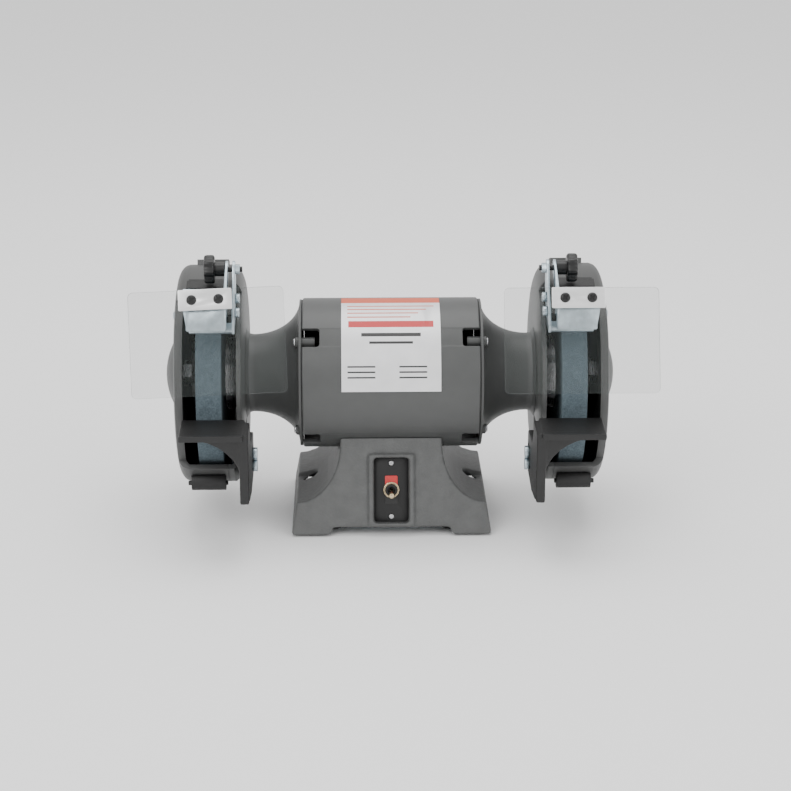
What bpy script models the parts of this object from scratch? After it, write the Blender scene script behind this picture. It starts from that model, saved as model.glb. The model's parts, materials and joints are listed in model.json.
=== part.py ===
"""Twin-wheel bench grinder, modelled as separate pieces at its real size.

Frame: +X to the right along the shaft, +Y to the back, +Z up. The world origin is on the bench, below the
middle of the whole machine. Every outline below is measured from the centre of the shaft, and a piece that
exists on both sides is drawn for the right-hand side and mirrored for the left.
"""

from math import acos, atan, atan2, cos, pi, radians, sin, sqrt

import bmesh
import bpy
from mathutils import Matrix, Vector

# Frame
SHAFT_Y = 0.0212
SHAFT_Z = 0.149
GAP = 0.0003
ROUND_STEPS = 28
GUARD_STEPS = 36
BARREL_STEPS = 40
SMALL_STEPS = 12
SMOOTH_ANGLE = radians(35)

# Motor
BARREL_RADIUS = 0.077
BARREL_WALL = 0.005
BARREL_HALF = 0.090
NECK_RADIUS = 0.040
NECK_START = 0.141
BELL_END = 0.1477
BELL_NOTCH_DEPTH = 0.018
BELL_NOTCH_WIDTH = 0.021
BELL_BOLT_CIRCLE = 0.0655
BOSS_START = 0.077
BOSS_END = 0.0970
BOSS_RADIUS = 0.0055
CORE_HALF = 0.045
ROTOR_RADIUS = 0.038
COIL_LENGTH = 0.020
FAN_X = -0.078
FAN_RADIUS = 0.056
FAN_BLADES = 9

# Shaft and bearings
SHAFT_CORE_RADIUS = 0.012
SHAFT_BEARING_RADIUS = 0.0099
SHAFT_WHEEL_RADIUS = 0.0079
SHAFT_SHOULDER = 0.158
SHAFT_END = 0.2165
BEARING_X = 0.127
BEARING_WIDTH = 0.014
BEARING_BORE_RADIUS = 0.0102
BEARING_INNER_EDGE = 0.0140
BEARING_OUTER_EDGE = 0.0195
BEARING_OUTER_RADIUS = 0.0235

# Wheels and what holds them
WHEEL_X = 0.182
WHEEL_RADIUS = 0.1016
WHEEL_WIDTH = 0.0254
WHEEL_BORE_RADIUS = 0.0082
FLANGE_RADIUS = 0.038
FLANGE_RELIEF_RADIUS = 0.030
FLANGE_WIDTH = 0.0072
BLOTTER_THICKNESS = 0.0006
NUT_ACROSS_CORNERS = 0.0276
NUT_WIDTH = 0.0095
SHAFT_CLEARANCE_RADIUS = 0.0125
RIM_CHAMFER = 0.0008

# Wheel guards
GUARD_RADIUS = 0.112
GUARD_WALL = 0.005
GUARD_INNER_FACE = 0.148
GUARD_SPLIT = 0.165
GUARD_OUTER_FACE = 0.2155
OPENING_TOP = radians(65)
OPENING_BOTTOM = radians(-42)
COVER_FRONT_RADIUS = 0.1025
DOME_TIP = 0.231
DOME_RADIUS = 0.046
TRIM_RADIUS = 0.115
TOP_STRIP_RADIUS = 0.1172
CHUTE_ANGLE = radians(-53)
CHUTE_DISTANCE = 0.1165
CHUTE_RADIUS = 0.0092
CHUTE_LOW_X = 0.168
CHUTE_HIGH_X = 0.203

# Spark deflector, in the side view (y, z)
PIVOT = (-0.049, 0.1242)
DEFLECTOR_BOLTS = ((-0.0600, 0.0969), (-0.0730, 0.0860))
LUG_X = (0.158, 0.162)
ARM_X = (0.1551, 0.1577)
BOLT_RADIUS = 0.0030
DEFLECTOR_SLOT_OUTER = 0.0038
DEFLECTOR_SLOT_INNER = 0.0064
PIVOT_HOLE_RADIUS = 0.0032
PIVOT_EAR_RADIUS = 0.0085
DEFLECTOR_STRAP_X = (LUG_X[1] + GAP, 0.1640)
DEFLECTOR_BOLT_SIZES = (0.0028, 0.0050, 0.0040)
DEFLECTOR_SPAN = (0.1577, 0.2000)

# Eye shield
SHIELD_LEAN = radians(22)
SHIELD_TOP = (-0.0935, 0.1155)
SHIELD_WIDTH = 0.152
SHIELD_HEIGHT = 0.104
SHIELD_THICKNESS = 0.003
SHIELD_CORNER = 0.005
LEFT_SHIELD_TILT = radians(2.4)
PANE_X = {1: 0.1860, -1: 0.1822}
STRIP_WIDTH = 0.0525
STRIP_HEIGHT = 0.0205
STRIP_THICKNESS = 0.0025
BRACKET_X = (0.1623, 0.2040)
BRACKET_SHEET = 0.0022
BRACKET_DROP = 0.041
SHIELD_SCREWS_X = (0.1696, 0.1960)
KNOB_RADIUS = 0.0147
KNOB_X = (0.1755, 0.1862)
KNOB_LOBES = 8

# Tool rest
TABLE_X = (0.146, 0.209)
TABLE_Y = (-0.1550, -0.1046)
TABLE_TOP = -0.0154
TABLE_THICKNESS = 0.006
REST_ARM_X = (0.1412, 0.1502)
REST_BOLTS = ((-0.0600, -0.0670), (-0.0600, -0.0800))
REST_BOLT_RADIUS = 0.0031
REST_SLOT_HALF = 0.0035
REST_SLOT_FRONT = 0.0032
REST_SLOT_BACK = 0.0135
REST_PAD_Y = (-0.0985, -0.029)
REST_PAD_Z = (-0.115, -0.038)
REST_STRAP_X = (0.1605, 0.1625)
REST_BOLT_SIZES = (0.0028, 0.0062, 0.0046)

# Base
BASE_FOOT_HALF = 0.1025
BASE_LEDGE_HALF = 0.0965
BASE_LEDGE_Z = 0.034
BASE_NECK_HALF = 0.052
BASE_NECK_Z = 0.091
BASE_FOOT_DEPTH = 0.088
BASE_NECK_DEPTH = 0.060
BASE_TOP_Z = 0.0995
BASE_WALL = 0.006
BASE_FOOT_Z = 0.0020
BASE_NOTCH_HALF = 0.059
BASE_NOTCH_Z = 0.0095
BASE_SLOPE = (BASE_FOOT_DEPTH - BASE_NECK_DEPTH) / BASE_NECK_Z
BOLT_HOLE_X = 0.0855
BOLT_HOLE_RADIUS = 0.0048
BOLT_FACE_RADIUS = 0.0100
BOLT_FACE_DEPTH = 0.0025
BOTTOM_PLATE_HALF_WIDTH = 0.070
BOTTOM_PLATE_Y = (-0.0665, 0.0765)
BOTTOM_PLATE_Z = 0.0100
BOTTOM_PLATE_SHEET = 0.0015
FOOT_X = 0.060
FOOT_Y = 0.056
FOOT_RADIUS = 0.009
CAPACITOR_Z = 0.0335
GLAND_Z = 0.035
GLAND_RADIUS = 0.0080

# Switch
SWITCH_Z = 0.0459
SWITCH_RECESS = 0.010
SWITCH_HALF_WIDTH = 0.0175
SWITCH_HALF_HEIGHT = 0.033
RAIL_Z = (-0.0370, 0.0370)
RAIL_HALF = 0.0235
SWITCH_SHEET = 0.0018
SWITCH_BODY_DEPTH = 0.034
BUSHING_RADIUS = 0.0060
LEVER_PIVOT_DEPTH = 0.0045
LEVER_LENGTH = 0.0215
LEVER_REST_ANGLE = radians(-14)


# Mesh helpers ---------------------------------------------------------------------------------------------


def placed(axis, along, u, v):
    """A point at `along` on the axis, with u and v as its two other coordinates in X, Y, Z order."""
    point = [u, v]
    point.insert("XYZ".index(axis), along)
    return Vector(point)


def arc(radius, start, end, steps, centre=(0.0, 0.0)):
    """Points on an arc, both ends included."""
    angles = [start + (end - start) * i / steps for i in range(steps + 1)]
    return [(centre[0] + radius * cos(a), centre[1] + radius * sin(a)) for a in angles]


def circle(radius, steps, centre=(0.0, 0.0), phase=0.0):
    return arc(radius, phase, phase + 2 * pi, steps, centre)[:-1]


def slot(start, end, radius, steps=6):
    """Outline of a straight slot with round ends, from one centre to the other."""
    run = Vector(end) - Vector(start)
    heading = atan2(run.y, run.x)
    first = arc(radius, heading - pi / 2, heading + pi / 2, steps, end)
    return first + arc(radius, heading + pi / 2, heading + 3 * pi / 2, steps, start)


def rounded_rectangle(half_width, half_height, corner, steps=3):
    points = []
    for quarter, (u, v) in enumerate(((1, 1), (-1, 1), (-1, -1), (1, -1))):
        centre = (u * (half_width - corner), v * (half_height - corner))
        points += arc(corner, quarter * pi / 2, (quarter + 1) * pi / 2, steps, centre)
    return points


def guard_point(radius, elevation):
    """Side-view point at a radius from the shaft, with elevation 0 at the front and 90 degrees on top."""
    return (-radius * cos(elevation), radius * sin(elevation))


def guard_sector(low_radius, high_radius, start, end, steps):
    """Side-view outline of a piece of ring between two elevations."""
    angles = [start + (end - start) * i / steps for i in range(steps + 1)]
    outer = [guard_point(high_radius, a) for a in angles]
    return outer + [guard_point(low_radius, a) for a in reversed(angles)]


def turned(profile, steps=ROUND_STEPS, phase=0.0):
    """Solid of revolution about X. The profile of (x, radius) closes on itself, or ends on the axis."""
    mesh = bmesh.new()
    rings = []
    for x, radius in profile:
        turns = steps if radius > 0 else 1
        spots = circle(radius, turns, phase=phase)
        rings.append([mesh.verts.new((x, y, z)) for y, z in spots])
    for first, second in zip(rings, rings[1:] + rings[:1]):
        for i in range(steps if len(first) + len(second) > 2 else 0):
            corners = [first[i % len(first)], first[(i + 1) % steps % len(first)]]
            corners += [second[(i + 1) % steps % len(second)], second[i % len(second)]]
            mesh.faces.new(list(dict.fromkeys(corners)))
    bmesh.ops.recalc_face_normals(mesh, faces=mesh.faces)
    return mesh


def plate(outline, low, high, axis="X", holes=()):
    """Solid between two parallel planes, from an outline and the outlines of any holes through it."""
    mesh = bmesh.new()
    edges = []
    for loop in (outline, *holes):
        corners = [mesh.verts.new(placed(axis, low, u, v)) for u, v in loop]
        edges += [mesh.edges.new(pair) for pair in zip(corners, corners[1:] + corners[:1])]
    bmesh.ops.triangle_fill(mesh, use_beauty=True, edges=edges)
    grown = bmesh.ops.extrude_face_region(mesh, geom=mesh.faces[:])
    moved = [item for item in grown["geom"] if isinstance(item, bmesh.types.BMVert)]
    bmesh.ops.translate(mesh, verts=moved, vec=placed(axis, high - low, 0, 0))
    bmesh.ops.recalc_face_normals(mesh, faces=mesh.faces)
    return mesh


def block(low, high):
    outline = [(low[1], low[2]), (high[1], low[2]), (high[1], high[2]), (low[1], high[2])]
    return plate(outline, low[0], high[0])


def washer(low, high, outer, inner, steps=SMALL_STEPS):
    return turned([(low, inner), (high, inner), (high, outer), (low, outer)], steps)


def moved(mesh, offset=(0, 0, 0), turn=0.0, axis="X"):
    """Turns a mesh about an axis through the origin, then shifts it."""
    matrix = Matrix.Translation(Vector(offset)) @ Matrix.Rotation(turn, 4, axis)
    bmesh.ops.transform(mesh, matrix=matrix, verts=mesh.verts)
    return mesh


def group(*meshes):
    """Several separate solids in one mesh."""
    whole = bmesh.new()
    for part in meshes:
        data = bpy.data.meshes.new("part")
        part.to_mesh(data)
        part.free()
        whole.from_mesh(data)
        bpy.data.meshes.remove(data)
    return whole


def mirrored(mesh):
    bmesh.ops.scale(mesh, vec=(-1, 1, 1), verts=mesh.verts)
    bmesh.ops.reverse_faces(mesh, faces=mesh.faces)
    return mesh


# Scene helpers --------------------------------------------------------------------------------------------


def clear_scene():
    for old in list(bpy.data.objects):
        bpy.data.objects.remove(old, do_unlink=True)


def material(name, colour, roughness, metallic=0.0):
    made = bpy.data.materials.new(name)
    made.use_nodes = True
    shader = made.node_tree.nodes["Principled BSDF"]
    shader.inputs["Base Color"].default_value = (*colour, 1.0)
    shader.inputs["Roughness"].default_value = roughness
    shader.inputs["Metallic"].default_value = metallic
    made.diffuse_color = (*colour, 1.0)
    return made


FINISHES = {
    "satin_grey": ((0.20, 0.19, 0.19), 0.45, 0.0),
    "cover_grey": ((0.11, 0.105, 0.10), 0.5, 0.0),
    "cast_grey": ((0.17, 0.175, 0.175), 0.6, 0.0),
    "black_cast": ((0.02, 0.02, 0.02), 0.55, 0.0),
    "black_plastic": ((0.015, 0.015, 0.015), 0.4, 0.0),
    "rubber": ((0.02, 0.02, 0.02), 0.8, 0.0),
    "abrasive": ((0.10, 0.13, 0.16), 0.9, 0.0),
    "zinc": ((0.55, 0.62, 0.64), 0.3, 1.0),
    "aluminium": ((0.8, 0.8, 0.8), 0.35, 1.0),
    "steel": ((0.55, 0.55, 0.56), 0.3, 1.0),
    "brass": ((0.6, 0.48, 0.28), 0.3, 1.0),
    "copper": ((0.6, 0.28, 0.12), 0.4, 1.0),
    "clear": ((0.85, 0.9, 0.9), 0.05, 0.0),
    "label": ((0.75, 0.75, 0.75), 0.4, 0.0),
    "red": ((0.6, 0.05, 0.04), 0.4, 0.0),
}


def empty(name, offset=(0, 0, 0), parent=None):
    """A joint's frame: the empty stands on the joint's axis."""
    made = bpy.data.objects.new(name, None)
    bpy.context.scene.collection.objects.link(made)
    made.location = offset
    if parent:
        made.parent = parent
        made["offset"] = list(Vector(parent.get("offset", (0, 0, 0))) + Vector(offset))
    return made


def add(name, mesh, finish, parent, side=1):
    """Makes a mesh, drawn from the shaft's centre, an object under its joint's empty."""
    if side < 0:
        mesh = mirrored(mesh)
    bmesh.ops.translate(mesh, verts=mesh.verts, vec=-Vector(parent.get("offset", (0, 0, 0))))
    data = bpy.data.meshes.new(name)
    mesh.to_mesh(data)
    mesh.free()
    data.shade_smooth()
    data.set_sharp_from_angle(angle=SMOOTH_ANGLE)
    data.materials.append(material(name, *FINISHES[finish]))
    made = bpy.data.objects.new(name, data)
    bpy.context.scene.collection.objects.link(made)
    made.parent = parent
    return made


def combine(target, tool_mesh, operation, side=1):
    """Cuts or joins a hidden tool, drawn like the target."""
    index = len(target.modifiers)
    tool = add(f"{target.name}.tool{index}", tool_mesh, "steel", target.parent, side)
    tool.hide_render = True
    tool.display_type = "WIRE"
    change = target.modifiers.new(f"tool{index}", "BOOLEAN")
    change.operation = operation
    change.object = tool
    return tool


def side_name(name, side):
    return f"{name}_{'right' if side > 0 else 'left'}"


# Motor ----------------------------------------------------------------------------------------------------


def bell_profile():
    """End bell for the right-hand side: rim, concave flare, neck, and the bearing pocket inside."""
    flare = NECK_START - BARREL_HALF - 0.003
    rim = BARREL_RADIUS - 0.0015
    steps = 6
    outer = [(BARREL_HALF + GAP, rim), (BARREL_HALF + 0.003, rim)]
    for i in range(1, steps + 1):
        turn = pi / 2 * i / steps
        x = NECK_START - flare * cos(turn)
        outer.append((x, NECK_RADIUS + (rim - NECK_RADIUS) * (1 - sin(turn))))
    outer += [(BELL_END - 0.003, NECK_RADIUS + 0.001), (BELL_END, NECK_RADIUS + 0.006)]
    pocket_start = BEARING_X - BEARING_WIDTH / 2 - GAP
    pocket_end = BEARING_X + BEARING_WIDTH / 2 + GAP
    pocket = BEARING_OUTER_RADIUS + GAP
    hole = SHAFT_CLEARANCE_RADIUS
    inner = [(BELL_END, hole), (pocket_end, hole), (pocket_end, pocket), (pocket_start, pocket)]
    inner += [(pocket_start, 0.034), (0.106, 0.040), (0.099, 0.048), (0.0915, 0.064)]
    return outer + inner + [(BARREL_HALF + GAP, 0.064)]


def bolt_spots():
    """The end bell bolts stand on the diagonals of the barrel's end."""
    return circle(BELL_BOLT_CIRCLE, 4, phase=pi / 4)


def make_motor(root):
    inner = BARREL_RADIUS - BARREL_WALL
    half = BARREL_HALF
    profile = [(-half, inner), (half, inner), (half, BARREL_RADIUS - 0.002)]
    profile += [(half - 0.002, BARREL_RADIUS), (0.002 - half, BARREL_RADIUS), (-half, BARREL_RADIUS - 0.002)]
    barrel = add("motor_barrel", turned(profile, BARREL_STEPS), "satin_grey", root)
    notches = []
    for side in (1, -1):
        for y, z in circle(BARREL_RADIUS, 4, phase=pi / 4):
            reach = sorted((side * (half - BELL_NOTCH_DEPTH), side * (half + 0.01)))
            notch = block((reach[0], -0.009, -BELL_NOTCH_WIDTH / 2), (reach[1], 0.009, BELL_NOTCH_WIDTH / 2))
            notches.append(moved(moved(notch, turn=atan2(z, y)), (0, y, z)))
    combine(barrel, group(*notches), "DIFFERENCE")
    core = [(-CORE_HALF, ROTOR_RADIUS + 0.0006), (CORE_HALF, ROTOR_RADIUS + 0.0006)]
    core += [(CORE_HALF, inner - GAP), (-CORE_HALF, inner - GAP)]
    add("stator_core", turned(core), "steel", root)
    for side in (1, -1):
        low = CORE_HALF + GAP
        high = CORE_HALF + COIL_LENGTH
        middle = (low + high) / 2
        ring = [(low, 0.044), (middle, 0.041), (high, 0.045), (high, 0.058), (middle, 0.063), (low, 0.060)]
        add(side_name("stator_winding", side), turned(ring, 24), "copper", root, side)
        bell = add(side_name("end_bell", side), turned(bell_profile()), "satin_grey", root, side)
        boss = [(BOSS_START, 0), (BOSS_END, 0), (BOSS_END, BOSS_RADIUS), (BOSS_START, BOSS_RADIUS)]
        bosses = [moved(turned(boss, SMALL_STEPS), (0, *spot)) for spot in bolt_spots()]
        combine(bell, group(*bosses), "UNION", side)
        race = BEARING_X - BEARING_WIDTH / 2
        outer_race = washer(race, race + BEARING_WIDTH, BEARING_OUTER_RADIUS, BEARING_OUTER_EDGE, 24)
        add(side_name("bearing_outer_race", side), outer_race, "steel", root, side)


def make_nameplate(root):
    """A thin plate rolled round the upper front of the barrel."""
    low = BARREL_RADIUS + GAP
    outline = guard_sector(low, low + 0.0008, radians(3), radians(94), 18)
    add("nameplate", plate(outline, -0.050, 0.050), "label", root)


def make_rotor(rotor):
    steps = ((0.100, SHAFT_CORE_RADIUS), (SHAFT_SHOULDER, SHAFT_BEARING_RADIUS))
    steps += ((SHAFT_END, SHAFT_WHEEL_RADIUS),)
    half = []
    start = 0.0
    for end, radius in steps:
        half += [(start, radius), (end, radius)]
        start = end
    profile = [(-SHAFT_END, 0)] + [(-x, r) for x, r in reversed(half)] + half[1:] + [(SHAFT_END, 0)]
    profile = [point for i, point in enumerate(profile) if point != profile[i - 1]]
    add("shaft", turned(profile, 24), "steel", rotor)
    bore = SHAFT_CORE_RADIUS + GAP
    add("rotor_core", washer(-CORE_HALF, CORE_HALF, ROTOR_RADIUS, bore, 28), "steel", rotor)
    blades = []
    for i in range(FAN_BLADES):
        turn = 2 * pi * i / FAN_BLADES
        width = pi / FAN_BLADES
        blades += [(FAN_RADIUS * cos(turn + w), FAN_RADIUS * sin(turn + w)) for w in (0, width * 0.5)]
        blades += [(0.020 * cos(turn + w), 0.020 * sin(turn + w)) for w in (width * 0.8, width * 1.8)]
    fan = plate(blades, FAN_X - 0.005, FAN_X + 0.005, holes=(circle(bore, 24),))
    add("cooling_fan", fan, "black_plastic", rotor)
    for side in (1, -1):
        ends = (BEARING_X - BEARING_WIDTH / 2, BEARING_X + BEARING_WIDTH / 2)
        race = washer(*ends, BEARING_INNER_EDGE, BEARING_BORE_RADIUS, 24)
        add(side_name("bearing_inner_race", side), race, "steel", rotor, side)


# Wheels and guards ----------------------------------------------------------------------------------------


def flange(low, high, relief_low):
    """A clamping flange, relieved near its bore so that it bears on the wheel at its rim."""
    face = low if relief_low else high
    relief = face + (0.0012 if relief_low else -0.0012)
    inner, middle = WHEEL_BORE_RADIUS, FLANGE_RELIEF_RADIUS
    back = high if relief_low else low
    profile = [(relief, inner), (relief, middle), (face, middle), (face, FLANGE_RADIUS)]
    return turned(profile + [(back, FLANGE_RADIUS - 0.002), (back, inner)], 24)


def make_wheel(rotor, side):
    low = WHEEL_X - WHEEL_WIDTH / 2
    high = WHEEL_X + WHEEL_WIDTH / 2
    worn = WHEEL_RADIUS - RIM_CHAMFER
    rim = [(low, worn), (low + RIM_CHAMFER, WHEEL_RADIUS), (high - RIM_CHAMFER, WHEEL_RADIUS), (high, worn)]
    wheel = turned(rim + [(high, WHEEL_BORE_RADIUS), (low, WHEEL_BORE_RADIUS)], BARREL_STEPS)
    add(side_name("grinding_wheel", side), wheel, "abrasive", rotor, side)
    flange_face = high + BLOTTER_THICKNESS + GAP
    nut_low = flange_face + FLANGE_WIDTH + GAP
    inner = flange(SHAFT_SHOULDER + GAP, low - BLOTTER_THICKNESS - GAP, False)
    add(side_name("inner_flange", side), inner, "steel", rotor, side)
    outer = flange(flange_face, flange_face + FLANGE_WIDTH, True)
    add(side_name("outer_flange", side), outer, "steel", rotor, side)
    hexagon = circle(NUT_ACROSS_CORNERS / 2, 6)
    nut = plate(hexagon, nut_low, nut_low + NUT_WIDTH, holes=(circle(WHEEL_BORE_RADIUS, 24),))
    add(side_name("arbor_nut", side), nut, "steel", rotor, side)


def opening_cutter(low, high):
    """The guard is open at the front, where the work meets the wheel."""
    outline = guard_sector(0.050, 0.150, OPENING_BOTTOM, OPENING_TOP, 8)
    return plate(outline, low, high)


def make_inner_guard(root, side):
    face = GUARD_INNER_FACE
    inside = face + GUARD_WALL
    split = GUARD_SPLIT
    band = GUARD_RADIUS - GUARD_WALL
    profile = [(face, SHAFT_CLEARANCE_RADIUS), (face, 0.086)]
    profile += [(face + 0.0015, 0.096), (face + 0.005, 0.105), (face + 0.011, GUARD_RADIUS)]
    profile += [(split, GUARD_RADIUS), (split, band), (inside + 0.007, band), (inside + 0.004, 0.1000)]
    profile += [(inside + 0.001, 0.0970), (inside + 0.001, 0.070), (inside + 0.003, 0.070)]
    profile += [(inside + 0.003, 0.058), (inside, 0.058), (inside, SHAFT_CLEARANCE_RADIUS)]
    guard = add(side_name("inner_guard", side), turned(profile, GUARD_STEPS), "satin_grey", root, side)
    combine(guard, opening_cutter(LUG_X[0] - 0.0005, 0.180), "DIFFERENCE", side)
    edge = guard_sector(0.0975, 0.150, OPENING_BOTTOM, radians(74), 8)
    combine(guard, plate(edge, face + 0.002, LUG_X[0]), "DIFFERENCE", side)
    lug = guard_sector(0.1052, 0.119, radians(46.6), radians(69), 5)
    holes = [circle(BOLT_RADIUS + GAP, 10, centre) for centre in DEFLECTOR_BOLTS]
    combine(guard, plate(lug, *LUG_X, holes=holes), "UNION", side)
    pad_low = (face - 0.002, REST_PAD_Y[0], REST_PAD_Z[0])
    pad = block(pad_low, (REST_ARM_X[1] + GAP, REST_PAD_Y[1], REST_PAD_Z[1]))
    combine(guard, pad, "DIFFERENCE", side)
    holes = [plate(circle(REST_BOLT_RADIUS, 10, centre), face, split + 0.005) for centre in REST_BOLTS]
    combine(guard, group(*holes), "DIFFERENCE", side)


def make_outer_cover(root, side):
    split = GUARD_SPLIT + GAP
    face = GUARD_OUTER_FACE
    band = GUARD_RADIUS - GUARD_WALL
    sagitta = DOME_TIP - face + 0.0015
    ball = (DOME_RADIUS**2 + sagitta**2) / (2 * sagitta)
    dome = []
    for i in range(6):
        radius = DOME_RADIUS * (1 - i / 5)
        dome.append((DOME_TIP - ball + sqrt(ball**2 - radius**2), radius))
    profile = [(split, band), (split, GUARD_RADIUS), (0.2050, GUARD_RADIUS), (0.2100, 0.1100)]
    profile += [(0.2140, 0.1050), (0.2165, 0.0970), (0.2170, 0.0860), (face + 0.0005, 0.0560)] + dome
    profile += [(DOME_TIP - 0.0035, 0), (0.2235, 0.0200), (0.2115, 0.0420), (0.2110, 0.0560)]
    profile += [(0.2125, 0.0860), (0.2105, 0.0990), (0.2040, band)]
    cover = add(side_name("outer_cover", side), turned(profile, GUARD_STEPS), "cover_grey", root, side)
    combine(cover, opening_cutter(0.150, 0.2035), "DIFFERENCE", side)
    edge = guard_sector(COVER_FRONT_RADIUS, 0.150, OPENING_BOTTOM, radians(62), 8)
    combine(cover, plate(edge, 0.202, 0.225), "DIFFERENCE", side)
    strip = guard_sector(GUARD_RADIUS - 0.001, TOP_STRIP_RADIUS, radians(103), radians(116), 3)
    combine(cover, plate(strip, 0.1660, 0.1980), "UNION", side)


def make_guard_trim(root, side):
    """Black stepped lip on the cover's band, over the opening."""
    low = GUARD_RADIUS + GAP
    lip = guard_sector(low, TRIM_RADIUS, radians(65.5), radians(71.5), 2)
    trim = add(side_name("guard_trim", side), plate(lip, 0.1653, 0.2045), "black_cast", root, side)
    step = guard_sector(low, low + 0.0012, radians(71), radians(74), 1)
    combine(trim, plate(step, 0.1656, 0.2030), "UNION", side)


def make_dust_chute(root, side):
    """Rounded black lip below the front opening, with its cross pin."""
    centre = guard_point(CHUTE_DISTANCE, CHUTE_ANGLE)
    seat = GUARD_RADIUS + 3 * GAP
    reach = CHUTE_DISTANCE**2 + CHUTE_RADIUS**2 - seat**2
    half = acos(reach / (2 * CHUTE_DISTANCE * CHUTE_RADIUS))
    inward = atan2(-centre[1], -centre[0])
    outline = arc(CHUTE_RADIUS, inward + half, inward + 2 * pi - half, 12, centre)
    body = plate(outline, CHUTE_LOW_X, CHUTE_HIGH_X)
    chute = add(side_name("dust_chute", side), body, "black_cast", root, side)
    pin = plate(circle(0.0025, 8, guard_point(CHUTE_DISTANCE + 0.002, CHUTE_ANGLE)), 0.166, 0.2065)
    combine(chute, pin, "UNION", side)


# Spark deflector, eye shield and knob ---------------------------------------------------------------------


def make_deflector(body, side):
    """Slotted zinc arm on the motor side of the lug, with the deflector plate that it carries."""
    inward = (Vector((0, 0)) - (Vector(DEFLECTOR_BOLTS[0]) + Vector(DEFLECTOR_BOLTS[1])) / 2).normalized()
    slots = []
    for bolt in DEFLECTOR_BOLTS:
        start = Vector(bolt) - inward * DEFLECTOR_SLOT_OUTER
        end = Vector(bolt) + inward * DEFLECTOR_SLOT_INNER
        slots.append(slot(start, end, BOLT_RADIUS + GAP, 4))
    outline = arc(PIVOT_EAR_RADIUS, radians(20), radians(165), 6, PIVOT)
    outline += [(-0.0700, 0.1020), (-0.0860, 0.0890), (-0.0920, 0.0760), (-0.0905, 0.0690)]
    outline += [(-0.0850, 0.0690), (-0.0790, 0.0700), (-0.0640, 0.0735), (-0.0480, 0.0850)]
    outline += [(-0.0405, 0.1000)]
    arm = plate(outline, *ARM_X, holes=(*slots, circle(PIVOT_HOLE_RADIUS, SMALL_STEPS, PIVOT)))
    piece = add(side_name("spark_deflector", side), arm, "zinc", body, side)
    sheet = [(-0.0880, 0.0800), (-0.0905, 0.0720), (-0.0895, 0.0698), (-0.0815, 0.0668)]
    sheet += [(-0.0808, 0.0688), (-0.0880, 0.0716), (-0.0860, 0.0793)]
    combine(piece, plate(sheet, ARM_X[0] + 0.0005, DEFLECTOR_SPAN[1]), "UNION", side)
    pivot_hole = circle(PIVOT_HOLE_RADIUS, SMALL_STEPS, PIVOT)
    weld_nut = plate(circle(0.0052, 6, PIVOT), 0.1505, ARM_X[0] + 0.0005, holes=(pivot_hole,))
    combine(piece, weld_nut, "UNION", side)


def bolt_pair(name, centres, head, strap, sizes, side, root):
    """Two hexagon bolts joined by the strap that their ends are threaded into."""
    shank, hexagon, thickness = sizes
    face = head - GAP
    profile = [(face - thickness, 0), (face - thickness, hexagon), (face, hexagon), (face, shank)]
    profile += [(strap[0] + 0.0005, shank), (strap[0] + 0.0005, 0)]
    bolts = [moved(turned(profile, 12), (0, *centre)) for centre in centres]
    outline = slot(*centres, shank + 0.0014)
    pair = add(side_name(name, side), plate(outline, *strap), "zinc", root, side)
    for bolt in bolts:
        combine(pair, bolt, "UNION", side)


def shield_frame(mesh, tilt=0.0):
    """Places a piece drawn flat, top edge at z 0 and back at y 0, on the leaning shield plane."""
    pivot = Matrix.Translation((WHEEL_X, 0, 0))
    matrix = Matrix.Translation((0, *SHIELD_TOP)) @ Matrix.Rotation(-SHIELD_LEAN, 4, "X")
    matrix = matrix @ pivot @ Matrix.Rotation(tilt, 4, "Y") @ pivot.inverted()
    bmesh.ops.transform(mesh, matrix=matrix, verts=mesh.verts)
    return mesh


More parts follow.
